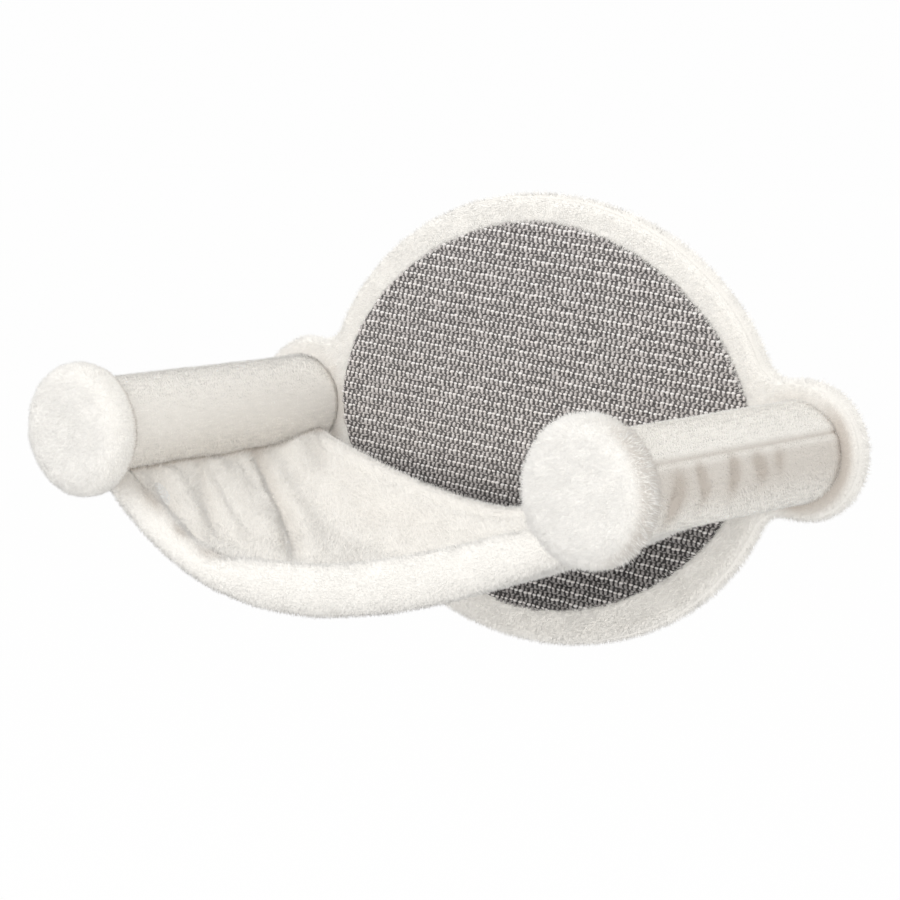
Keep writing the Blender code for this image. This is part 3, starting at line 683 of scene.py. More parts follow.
def yarn_material(name, pale, dark, least):
    """Sisal yarn: each loop has its own tone, mottled by its fibres, darker at its foot as painted
    shade and darker below the sling as painted shadow.
    """
    material, tree, shader = new_material(name)
    tone = mixed(tree, read(tree, "tint"), rgb(dark), rgb(pale))
    mottled, mask = patched(tree, tone, rgb(dark), 1400.0, 3.0, 1.4)
    # Painted shade: darker towards the loop's foot, where it meets the ground.
    low = math_of(tree, "POWER", out(put(tree, "ShaderNodeClamp", {0: read(tree, "height")})), 1.2)
    low = math_of(tree, "MULTIPLY_ADD", low, 0.68, 0.32)
    # Painted shadow of the sling on the lower part of the mat.
    low = math_of(tree, "MULTIPLY", low, sling_shadow_factor(tree, least))
    dimmed = put(tree, "ShaderNodeHueSaturation", {"Color": mottled, "Value": low})
    tree.links.new(out(dimmed), shader.inputs["Base Color"])
    bumped(tree, shader, mask, 0.5, 0.0004)
    shader.inputs["Roughness"].default_value = 0.82
    shader.inputs["Specular IOR Level"].default_value = 0.3
    return material


def speckled_material(name, colour, other, scale, roughness, bump, metallic=0.0, detail=4.0):
    """A finish mottled at one scale, with the same mottling raised as bump."""
    material, tree, shader = new_material(name)
    tone, mask = patched(tree, rgb(colour), rgb(other), scale, detail, 2.2)
    tree.links.new(tone, shader.inputs["Base Color"])
    bumped(tree, shader, mask, 0.5, bump)
    uneven = math_of(tree, "MULTIPLY_ADD", mask, 0.15, roughness)
    tree.links.new(uneven, shader.inputs["Roughness"])
    shader.inputs["Metallic"].default_value = metallic
    return material


def fibre_material(name):
    """Loose white filling."""
    return speckled_material(name, (0.90, 0.90, 0.89), (0.78, 0.78, 0.77), 500.0, 0.95, 0.001)


def layered_material(name, pale, dark, scale):
    """Plywood: layers across the thickness, and grain on the faces."""
    material, tree, shader = new_material(name)
    place = out(put(tree, "ShaderNodeTexCoord"), "Object")
    layers = put(
        tree,
        "ShaderNodeTexWave",
        {"Vector": place, "Scale": scale, "Distortion": 1.5, "Detail": 2.0},
        wave_type="BANDS",
        bands_direction="Y",
    )
    tone = mixed(tree, out(layers, "Fac"), rgb(pale), rgb(dark))
    grain, mask = patched(tree, tone, rgb(dark), 160.0, 6.0, 1.5)
    tree.links.new(grain, shader.inputs["Base Color"])
    bumped(tree, shader, mask, 0.4, 0.0004)
    shader.inputs["Roughness"].default_value = 0.7
    return material


# Meshes


def grid_faces(m, n, loop_rows=False, loop_points=False):
    """Four-sided faces between m rows of n points, closed round either way."""
    i = np.arange(m if loop_rows else m - 1)[:, None]
    j = np.arange(n if loop_points else n - 1)[None, :]
    below, beside = (i + 1) % m, (j + 1) % n
    faces = np.stack([i * n + j, i * n + beside, below * n + beside, below * n + j], axis=-1)
    return faces.reshape(-1, 4)


def skin(name, rows, loop_rows=False, loop_points=False):
    """The mesh of a grid of points, closed round either way."""
    faces = grid_faces(*rows.shape[:2], loop_rows, loop_points)
    mesh = bpy.data.meshes.new(name)
    mesh.from_pydata(rows.reshape(-1, 3).tolist(), [], faces.tolist())
    return tidied(mesh)


def tidied(mesh, merge=True, recalculate=True):
    """Merges doubles, drops faces without area, turns all faces outwards and shades them smooth."""
    shape = bmesh.new()
    shape.from_mesh(mesh)
    if merge:
        bmesh.ops.remove_doubles(shape, verts=shape.verts, dist=0.000005)
        bmesh.ops.dissolve_degenerate(shape, edges=shape.edges, dist=0.000001)
    if recalculate:
        bmesh.ops.recalc_face_normals(shape, faces=shape.faces)
    for face in shape.faces:
        face.smooth = True
    shape.to_mesh(mesh)
    shape.free()
    return mesh


def points_of(mesh):
    places = np.zeros(len(mesh.vertices) * 3, np.float32)
    mesh.vertices.foreach_get("co", places)
    return places.reshape(-1, 3).astype(float)


def normals_of(mesh):
    normals = np.zeros(len(mesh.vertices) * 3, np.float32)
    mesh.vertex_normals.foreach_get("vector", normals)
    return normals.reshape(-1, 3).astype(float)


def move_points(mesh, places):
    mesh.vertices.foreach_set("co", places.astype(np.float32).ravel())


def mark(mesh, **values):
    """Writes one number per vertex under each name."""
    for name, numbers in values.items():
        layer = mesh.attributes.get(name) or mesh.attributes.new(name, "FLOAT", "POINT")
        layer.data.foreach_set("value", np.asarray(numbers, np.float32))


def bell(distance, width):
    """1 at no distance, falling smoothly to almost nothing at twice the width."""
    return np.exp(-((distance / width) ** 2))


def lumps(places, scale, seed=0.0):
    """Smooth noise from about -1 to 1 at each place."""
    shift = Vector((seed * 3.1, seed * 1.7, seed * 2.3))
    return np.array([noise.noise(Vector(p) * scale + shift) for p in places])


def turned_rows(profile, steps, x, radius_at=None):
    """Rows of points for a profile of (radius, out) turned about a line that stands out."""
    turns = 2 * math.pi * np.arange(steps) / steps
    profile = np.array(profile)
    radius, reach = profile[:, 0][None, :], profile[:, 1][None, :]
    cos, sin = np.cos(turns)[:, None], np.sin(turns)[:, None]
    if radius_at is not None:
        radius = radius_at(turns[:, None], reach, radius)
    return np.stack(
        [x + radius * cos, np.broadcast_to(-reach, (steps, len(profile))), radius * sin], axis=-1
    )


def trimmed(name, mesh, cutters):
    """The mesh with solid cutters taken away."""
    item = bpy.data.objects.new(name, mesh)
    bpy.context.scene.collection.objects.link(item)
    tools = []
    for cutter in cutters:
        tool = bpy.data.objects.new("cutter", cutter)
        bpy.context.scene.collection.objects.link(tool)
        cut = item.modifiers.new("cut", "BOOLEAN")
        cut.operation = "DIFFERENCE"
        cut.solver = "EXACT"
        cut.object = tool
        tools.append(tool)
    result = plain_mesh(item, name)
    for tool in tools:
        bpy.data.objects.remove(tool, do_unlink=True)
    return result


def post_cutter(x):
    """The room that a post and its plush take up, longer than the post at both ends."""
    radius, front, rear = SLEEVE_RADIUS + GAP, 0.25, 0.01
    profile = [(0.0, front), (radius, front), (radius, rear), (0.0, rear)]
    return skin("post room", turned_rows(profile, 96, x), loop_rows=True)


def clear_of_posts(places, margin):
    """True where a place is further than a margin from both posts' plush."""
    reach = SLEEVE_RADIUS + GAP + margin
    far = np.ones(len(places), bool)
    for x in (-POST_X, POST_X):
        far &= np.hypot(places[:, 0] - x, places[:, 2]) > reach
    return far


def pile_on(
    piece, name, material, strands, length, width, seed, evenness=0.6, facing=0.0, **more
):
    """Grows the pile on a piece's cloth as a piece of its own; strands is their number per m2.

    Evenness and facing are the share and the facing of shade_as_cloth.
    """
    tree = group_named("Plush pile", pile_tree)
    inputs = {
        "Strands": float(strands),
        "Length": length,
        "Width": width,
        "Seed": seed,
        "Map squares": 220.0,
        **more,
    }
    pile = grown(name, tree, piece.data.copy(), inputs, material)
    shade_as_cloth(pile.data, evenness, facing)
    pile.visible_shadow = pile.visible_diffuse = False
    return pile


def shade_as_cloth(mesh, share, facing):
    """Turns the strands' shading normals towards the cloth's, so the pile shades as one surface.

    The share is one number, or one for sides and one for faces that look away from the wall.
    Facing turns them further, towards straight out from the wall.
    """
    ground = np.zeros(len(mesh.vertices) * 3, np.float32)
    mesh.attributes["ground"].data.foreach_get("vector", ground)
    ground = ground.reshape(-1, 3)
    if isinstance(share, tuple):
        share = blend(share[0], share[1], ground[:, 1:2] ** 2)
    towards = ground + np.array([0.0, -facing, 0.0])
    normals = blend(normals_of(mesh), towards, share)
    normals /= np.maximum(np.linalg.norm(normals, axis=1, keepdims=True), 1e-9)
    mesh.normals_split_custom_set_from_vertices(normals.tolist())
    mesh.attributes.remove(mesh.attributes["ground"])


# Outline of the eared board


def oval_points(half_width, half_height, rise, turns, power=2.0):
    c, s = np.cos(turns), np.sin(turns)
    x = np.sign(c) * half_width * np.abs(c) ** (2 / power)
    z = rise + np.sign(s) * half_height * np.abs(s) ** (2 / power)
    return np.stack([x, z], axis=-1)


def eared_outline(grow, count):
    """Evenly spaced points round the board, grown by a width: its oval, ears and blends."""
    a, b = BOARD_HALF_WIDTH + grow, BOARD_HALF_HEIGHT + grow
    ear, corner = EAR_RADIUS + grow, EAR_BLEND - grow
    fine = oval_points(a, b, BOARD_RISE, np.linspace(-math.pi / 2, math.pi / 2, 4001))
    arcs = {}
    for side in (-1, 1):
        low, high = math.radians(60), math.radians(180)
        for _ in range(40):
            middle = (low + high) / 2
            centre = np.array(
                [
                    POST_X + (ear + corner) * math.cos(middle),
                    side * (ear + corner) * math.sin(middle),
                ]
            )
            gap = np.hypot(*(fine - centre).T)
            index = int(gap.argmin())
            inside = (centre[0] / a) ** 2 + ((centre[1] - BOARD_RISE) / b) ** 2 < 1
            if (-gap[index] if inside else gap[index]) > corner:
                low = middle
            else:
                high = middle
        arcs[side] = (centre, fine[index], index, middle)
    lower, upper = arcs[-1], arcs[1]
    ear_turn = np.linspace(-lower[3], upper[3], 400)
    ear_arc = np.stack([POST_X + ear * np.cos(ear_turn), ear * np.sin(ear_turn)], axis=-1)

    def corner_arc(arc, start, stop):
        centre = arc[0]
        first = math.atan2(*(start - centre)[::-1])
        last = math.atan2(*(stop - centre)[::-1])
        last = first + (last - first + math.pi) % (2 * math.pi) - math.pi
        turns = np.linspace(first, last, 120)
        return centre + corner * np.stack([np.cos(turns), np.sin(turns)], axis=-1)

    right = np.concatenate(
        [
            fine[: lower[2]],
            corner_arc(lower, lower[1], ear_arc[0]),
            ear_arc[1:-1],
            corner_arc(upper, ear_arc[-1], upper[1]),
            fine[upper[2] + 1 :],
        ]
    )
    left = right[::-1][1:-1] * [-1, 1]
    line = np.concatenate([right, left, right[:1]])
    along = np.concatenate([[0.0], np.cumsum(np.hypot(*np.diff(line, axis=0).T))])
    stops = np.linspace(0.0, along[-1], count, endpoint=False)
    return np.stack([np.interp(stops, along, line[:, k]) for k in (0, 1)], axis=-1)


# Sling


def hung(low, end, x, share):
    """Height of crosswise lines that hang from their low point up to an end at each post."""
    low_x = blend(LOW_X_BACK, LOW_X_FRONT, share)
    left = np.clip((low_x - x) / (POST_X + low_x), 0, None)
    right = np.clip((x - low_x) / (POST_X - low_x), 0, None)
    left = left ** blend(CURL_LEFT_BACK, CURL_LEFT_FRONT, share)
    right = right ** blend(CURL_RIGHT_BACK, CURL_RIGHT_FRONT, share)
    return low + (end - low) * left + (end + RIGHT_RAISE - low) * right


def sling_height(x, reach):
    """Height of the sling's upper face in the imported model."""
    share = (reach - BACK_RIM_OUT) / (FRONT_RIM_OUT - BACK_RIM_OUT)
    low = blend(SLING_LOW_BACK, SLING_LOW_FRONT, share) - BELLY * 4 * share * (1 - share)
    return hung(low, SLING_END, x, share)


def rim_frame(front, x):
    """Along one rim: the height of its underside, its upward direction and its half height."""
    end, low = (FRONT_RIM_END, FRONT_RIM_LOW) if front else (BACK_RIM_END, BACK_RIM_LOW)
    full = FRONT_RIM_HALF_HEIGHT if front else BACK_RIM_HALF_HEIGHT
    if front:
        # The front rim is pressed thinner near its left end
        full = full * (0.92 - 0.36 * bell(x + 0.145, 0.052))
    share, step = (1.0 if front else 0.0), POST_X / 500
    bottom = hung(low, end, x, share)
    slope = (hung(low, end, x + step, share) - hung(low, end, x - step, share)) / (2 * step)
    size = np.hypot(1.0, slope)
    half = blend(full, RIM_END_HALF_HEIGHT, np.minimum(np.abs(x) / POST_X, 1.0) ** 3)
    return bottom, -slope / size, 1.0 / size, half


def rim_height(front, x, level):
    """Height of a line along a rim: level -1 is its underside, 0 its middle and 1 its crest."""
    at = np.linspace(-POST_X, POST_X, 400)
    bottom, up_x, up_z, half = rim_frame(front, at)
    middle = np.interp(x, at + up_x * half, bottom + up_z * half)
    return middle + level * np.interp(x, at, half / up_z)


def puffed(x, reach):
    """How far the sling swells up beside the left post, which makes it meet the post higher."""
    share = (reach - BACK_RIM_OUT) / (FRONT_RIM_OUT - BACK_RIM_OUT)
    return blend(0.009, 0.016, share) * (1 - ramp(-0.205, -0.140, x))


def line_distance(x, reach, line):
    """Distance from a crease line, and the share of its length where the nearest point lies."""
    best, share = np.full(x.shape, 9.0), np.zeros(x.shape)
    line = np.array(line)
    steps = np.hypot(*np.diff(line, axis=0).T)
    total, done = steps.sum(), 0.0
    for (ax, ay), (bx, by), step in zip(line, line[1:], steps):
        t = ((x - ax) * (bx - ax) + (reach - ay) * (by - ay)) / step**2
        t = np.clip(t, 0.0, 1.0)
        gap = np.hypot(x - ax - t * (bx - ax), reach - ay - t * (by - ay))
        nearer = gap < best
        best = np.where(nearer, gap, best)
        share = np.where(nearer, (done + t * step) / total, share)
        done += step
    return best, share


# Each fold: its line as (x, out), its height (below 0 for a valley) and its width
FOLDS = [
    (
        [(-0.212, 0.098), (-0.192, 0.104), (-0.176, 0.109), (-0.158, 0.114), (-0.139, 0.125)]
        + [(-0.119, 0.144), (-0.102, 0.170)],
        -0.0105,
        0.0060,
    ),
    ([(-0.214, 0.094), (-0.200, 0.096), (-0.186, 0.100)], -0.0050, 0.0110),
    ([(-0.210, 0.146), (-0.183, 0.140), (-0.152, 0.148), (-0.126, 0.166)], 0.0085, 0.0170),
    ([(-0.214, 0.055), (-0.190, 0.070), (-0.168, 0.090)], 0.0085, 0.0130),
    ([(-0.204, 0.026), (-0.186, 0.042), (-0.160, 0.072)], -0.0045, 0.0070),
    ([(-0.204, 0.198), (-0.190, 0.193), (-0.167, 0.197), (-0.150, 0.199)], 0.0060, 0.0085),
    ([(-0.200, 0.160), (-0.184, 0.171), (-0.168, 0.182), (-0.146, 0.192)], -0.0055, 0.0060),
    ([(-0.150, 0.055), (-0.110, 0.070), (-0.070, 0.062), (-0.030, 0.068)], -0.0030, 0.0100),
    ([(0.070, 0.195), (0.020, 0.165), (-0.030, 0.158)], -0.0020, 0.0120),
    ([(0.190, 0.120), (0.150, 0.130), (0.100, 0.150)], -0.0035, 0.0085),
    ([(0.186, 0.175), (0.150, 0.175), (0.110, 0.195)], -0.0030, 0.0080),
]
# The height of the deepest valley, by which the painted shade in the others is scaled
DEEPEST = -0.0105
# Dimples where the floor is sewn to the front rim: their x and their width
DIMPLES = [(-0.183, 0.0085), (-0.154, 0.0050), (-0.124, 0.0085)]
DIMPLES_OUT, DIMPLE_DEPTH = 0.2105, 0.0060


def clear_of_cores(places):
    """Pushes points that would lie inside a post's plush straight out of it."""
    for x in (-POST_X, POST_X):
        away = places[..., [0, 2]] - [x, 0.0]
        far = np.linalg.norm(away, axis=-1, keepdims=True)
        away = away * np.maximum(1.0, (POST_GROUND + 0.0009) / far)
        places[..., [0, 2]] = away + [x, 0.0]
    return places


def creased(x, reach):
    """How far the folds lift or lower the sling at each point, and how deep in a fold it lies,
    which sets its painted shade.
    """
    lift, depth_in = np.zeros(x.shape), np.zeros(x.shape)
    for line, height, width in FOLDS:
        gap, share = line_distance(x, reach, line)
        fade = ramp(0, 1, np.minimum(share * 6 + 0.6, (1 - share) * 2.5))
        shape = bell(gap, width) * fade
        if height < 0:
            shoulder = bell(gap - 2.4 * width, 1.5 * width) * fade
            lift += -0.25 * height * shoulder
            depth_in += shape * height / DEEPEST
        lift += height * shape
    for at_x, width in DIMPLES:
        shape = bell(np.hypot((x - at_x) / 1.5, reach - DIMPLES_OUT), width)
        lift -= DIMPLE_DEPTH * shape
        depth_in += 0.5 * shape
    return lift, np.clip(depth_in, 0, 1)


def sewn_shade(places):
    """Painted shade in the dimples and along the line where the floor is sewn to the front rim."""
    x = np.linspace(-0.21, 0.02, 240)
    line = np.stack(
        [x, -sling_edges(x)[1] - 0.003, rim_height(True, x, front_level(x)) + 0.001], axis=-1
    )
    far = np.full(len(places), 9.0)
    for point in line:
        far = np.minimum(far, np.linalg.norm(places - point, axis=1))
    shade = 0.12 * bell(far, 0.0035)
    for at_x, width in DIMPLES:
        shade += 0.75 * bell(places[:, 0] - at_x, 1.3 * width) * bell(far, 0.9 * width)
    return shade


def smoothed(values, times):
    """A grid of values evened out with their neighbours."""
    for _ in range(times):
        padded = np.pad(values, 1, mode="edge")
        values = (padded[1:-1, :-2] + padded[1:-1, 2:] + padded[:-2, 1:-1] + padded[2:, 1:-1]) / 4
    return values


def held_edges(m, n):
    """The numbers of the points on the edges of a grid."""
    return [i * n + j for i in range(m) for j in range(n) if i in (0, m - 1) or j in (0, n - 1)]


def settled(rows, spare, frames, reach):
    """Lets a sheet with some spare cloth settle between its held edges.

    The movement is evened out, and no point moves further than reach.
    """
    m, n = rows.shape[:2]
    mesh = bpy.data.meshes.new("loose cloth")
    mesh.from_pydata(rows.reshape(-1, 3).tolist(), [], grid_faces(m, n).tolist())
    item = bpy.data.objects.new("loose cloth", mesh)
    bpy.context.scene.collection.objects.link(item)
    item.vertex_groups.new(name="held").add(held_edges(m, n), 1.0, "REPLACE")
    cloth = item.modifiers.new("settle", "CLOTH").settings
    cloth.quality, cloth.mass = 6, 0.3
    cloth.tension_stiffness = cloth.compression_stiffness = 14
    cloth.shear_stiffness, cloth.bending_stiffness = 6, 5
    cloth.shrink_min = -spare
    cloth.vertex_group_mass = "held"
    cloth.effector_weights.gravity = 0.3
    scene = bpy.context.scene
    for number in range(1, frames + 1):
        scene.frame_set(number)
    graph = bpy.context.evaluated_depsgraph_get()
    places = points_of(item.evaluated_get(graph).data).reshape(rows.shape)
    scene.frame_set(1)
    bpy.data.objects.remove(item, do_unlink=True)
    moved = np.stack([smoothed(places[..., k] - rows[..., k], 4) for k in range(3)], axis=-1)
    size = np.linalg.norm(moved, axis=-1, keepdims=True)
    return rows + moved * np.minimum(1.0, reach / np.maximum(size, 1e-9))


def front_level(x):
    """How high on the front rim the sling's floor meets it: near its crest at the left."""
    return blend(0.975, 0.62, ramp(-0.12, 0.0, x))


def sling_edges(x):
    """Where the sling's layers meet the back rim and the front rim, as distances from the wall."""
    back = np.minimum(RIM_HALF_DEPTH, rim_frame(False, x)[3])
    front = np.minimum(RIM_HALF_DEPTH, rim_frame(True, x)[3])
    front = front * np.sqrt(1 - front_level(x) ** 2)
    return BACK_RIM_OUT + back + 0.0004, FRONT_RIM_OUT - front - 0.0004


def sling_rows(count_across, count_deep):
    """Points of the sling's upper face between the posts' plush and the two rims."""
    room = POST_GROUND + 0.0009
    reach_x = np.full((2, count_deep), POST_X - room)
    share = np.linspace(0, 1, count_deep)
    for side, sign in enumerate(SIDES.values()):
        low, high = np.full(count_deep, 0.15), np.full(count_deep, POST_X)
        for _ in range(30):
            middle = (low + high) / 2
            back, front = sling_edges(sign * middle)
            height = top_height(sign * middle, blend(back, front, share))
            clear = np.hypot(POST_X - middle, height) > room
            low, high = np.where(clear, middle, low), np.where(clear, high, middle)
        reach_x[side] = low
    across = np.linspace(0, 1, count_across)[None, :]
    x = blend(-reach_x[0][:, None], reach_x[1][:, None], across)
    back, front = sling_edges(x)
    reach = blend(back, front, share[:, None])
    return x, reach


def top_height(x, reach):
    """Height of the top layer, which runs up over the back rim and up the front rim's side."""
    floor = sling_height(x, np.maximum(reach, BACK_RIM_OUT)) - 0.0010 + puffed(x, reach)
    rise = 1 - ramp(BACK_RIM_OUT, BACK_RIM_OUT + 0.058, reach)
    over = np.clip(BACK_RIM_OUT - reach, 0, None) / RIM_HALF_DEPTH
    height = blend(floor, rim_height(False, x, 1.0) + 0.0012, rise) - 0.012 * over**2
    level = front_level(x)
    edge = sling_edges(x)[1]
    return blend(height, rim_height(True, x, level), ramp(edge - 0.050, edge + 0.004, reach))


def solid_sheet(name, top, bottom):
    """A closed sheet between two grids of points."""
    m, n = top.shape[:2]
    count, quads = m * n, grid_faces(m, n)
    edge = [*range(n), *(i * n + n - 1 for i in range(1, m))]
    edge += [*range(count - 2, count - n - 1, -1), *(i * n for i in range(m - 2, 0, -1))]
    sides = [(a, b, b + count, a + count) for a, b in zip(edge, edge[1:] + edge[:1])]
    mesh = bpy.data.meshes.new(name)
    places = np.concatenate([top.reshape(-1, 3), bottom.reshape(-1, 3)])
    faces = quads.tolist() + (quads + count)[:, ::-1].tolist() + sides
    mesh.from_pydata(places.tolist(), [], faces)
    return tidied(mesh, merge=False)


def grid_normals(rows):
    """Upward unit normals of a grid of points."""
    across = np.gradient(rows, axis=1)
    deep = np.gradient(rows, axis=0)
    normals = np.cross(across, deep)
    normals /= np.linalg.norm(normals, axis=-1, keepdims=True)
    return normals * np.sign(normals[..., 2:3])


def rim_rows(front, shrink, stations, sides, lump=0.0):
    """Rings of one rolled rim, shrunk all round, with soft lumps of its filling."""
    reach = FRONT_RIM_OUT if front else BACK_RIM_OUT
    x = np.linspace(-POST_X, POST_X, stations)
    bottom, up_x, up_z, half_height = rim_frame(front, x)
    half_depth = np.minimum(RIM_HALF_DEPTH, half_height) - shrink
    turns = 2 * math.pi * np.arange(sides) / sides
    cos, sin = np.cos(turns)[None, :], np.sin(turns)[None, :]
    lift = half_height[:, None] + (half_height - shrink)[:, None] * sin
    rows = np.stack(
        [
            x[:, None] + up_x[:, None] * lift,
            -reach + half_depth[:, None] * cos,
            bottom[:, None] + up_z[:, None] * lift,
        ],
        axis=-1,
    )
    if lump:
        wave = lumps(rows.reshape(-1, 3), 28.0, 4.0 if front else 9.0).reshape(stations, sides)
        centre = rows.mean(axis=1, keepdims=True)
        rows = centre + (rows - centre) * (1 + lump * wave[..., None])
    return rows


# Pieces, one operator each


class CatBedPlush(bpy.types.PropertyGroup):
    """Plush that covers the board, the posts, the caps and the sling."""

    tip: bpy.props.FloatVectorProperty(
        name="Strand tip",
        description="Colour of the ends of the strands",
        subtype="COLOR",
        size=3,
        min=0.0,
        max=1.0,
        default=(0.965, 0.952, 0.922),
    )
    # The strands' root colour is darker than their tip's, as painted shade deep in the pile; the
    # cloth under the pile has it too.
    root: bpy.props.FloatVectorProperty(
        name="Strand root",
        description="Colour near the cloth and in the folds",
        subtype="COLOR",
        size=3,
        min=0.0,
        max=1.0,
        default=(0.925, 0.898, 0.850),
    )
    # Painted shade: the colour mixed into the plush wherever the shade attribute marks shade, in
    # creases, crevices, the rings round the posts and the posts' shaded sides.
    painted_shade_colour: bpy.props.FloatVectorProperty(
        name="Painted shade",
        description="Colour deep in the creases and next to the posts",
        subtype="COLOR",
        size=3,
        min=0.0,
        max=1.0,
        default=(0.585, 0.53, 0.475),
    )
    length: bpy.props.FloatProperty(
        name="Pile length",
        description="Length of the strands on the board and the caps",
        subtype="DISTANCE",
        unit="LENGTH",
        min=0.001,
        max=0.01,
        default=0.0050,
    )
    short_length: bpy.props.FloatProperty(
        name="Short pile length",
        description="Length of the strands on the posts and the sling",
        subtype="DISTANCE",
        unit="LENGTH",
        min=0.001,
        max=0.01,
        default=0.0027,
    )
    width: bpy.props.FloatProperty(
        name="Strand width",
        description="Width of a strand at its root",
        subtype="DISTANCE",
        unit="LENGTH",
        min=0.0002,
        max=0.002,
        default=0.00055,
    )


class CatBedSisal(bpy.types.PropertyGroup):
    """Woven scratch mat in the board's window."""

    pale: bpy.props.FloatVectorProperty(
        name="Pale yarn",
        description="Colour of the palest yarn",
        subtype="COLOR",
        size=3,
        min=0.0,
        max=1.0,
        default=(0.90, 0.855, 0.835),
    )
    dark: bpy.props.FloatVectorProperty(
        name="Dark yarn",
        description="Colour of the darkest yarn",
        subtype="COLOR",
        size=3,
        min=0.0,
        max=1.0,
        default=(0.58, 0.545, 0.535),
    )
    column_pitch: bpy.props.FloatProperty(
        name="Column pitch",
        description="Distance between two loops in a row",
        subtype="DISTANCE",
        unit="LENGTH",
        min=0.002,
        max=0.01,
        default=0.0042,
    )


class CatBedSling(bpy.types.PropertyGroup):
    """Padded sling between the posts."""

    spare: bpy.props.FloatProperty(
        name="Spare cloth",
        description="Share by which the cloth is wider than its place",
        subtype="FACTOR",
        min=0.0,
        max=0.2,
        default=0.02,
    )
    fold_height: bpy.props.FloatProperty(
        name="Fold scale",
        description="Scale of the folds' depth",
        min=0.0,
        max=2.0,
        default=1.0,
    )


class CatBedStage(bpy.types.PropertyGroup):
    """Floor, light and camera."""

    key_power: bpy.props.FloatProperty(
        name="Key light",
        description="Power of the large soft lamp",
        subtype="POWER",
        unit="POWER",
        min=0.0,
        default=34.0,
    )
    fill_power: bpy.props.FloatProperty(
        name="Fill light",
        description="Power of the second soft lamp",
        subtype="POWER",
        unit="POWER",
        min=0.0,
        default=6.5,
    )
    sky: bpy.props.FloatProperty(
        name="Sky strength",
        description="Strength of the even light from all round",
        min=0.0,
        max=2.0,
        default=0.895,
    )


def plush_finishes(scene):
    """The materials of the pile, of the posts' streakier pile and of the cloth, each made once."""
    plush = scene.cat_bed_plush
    # The painted shade colour goes to both the pile and the cloth.
    tip, root, painted_shade_colour = tuple(plush.tip), tuple(plush.root), tuple(plush.painted_shade_colour)
    piles = [
        bpy.data.materials.get(name) or plush_pile_material(name, tip, root, painted_shade_colour, streaky)
        for name, streaky in (("plush_pile", 0.30), ("post_pile", 1.25))
    ]
    cloth = bpy.data.materials.get("plush_ground") or plush_cloth_material(
        "plush_ground", root, tuple(0.95 * c for c in root), painted_shade_colour
    )
    return *piles, cloth


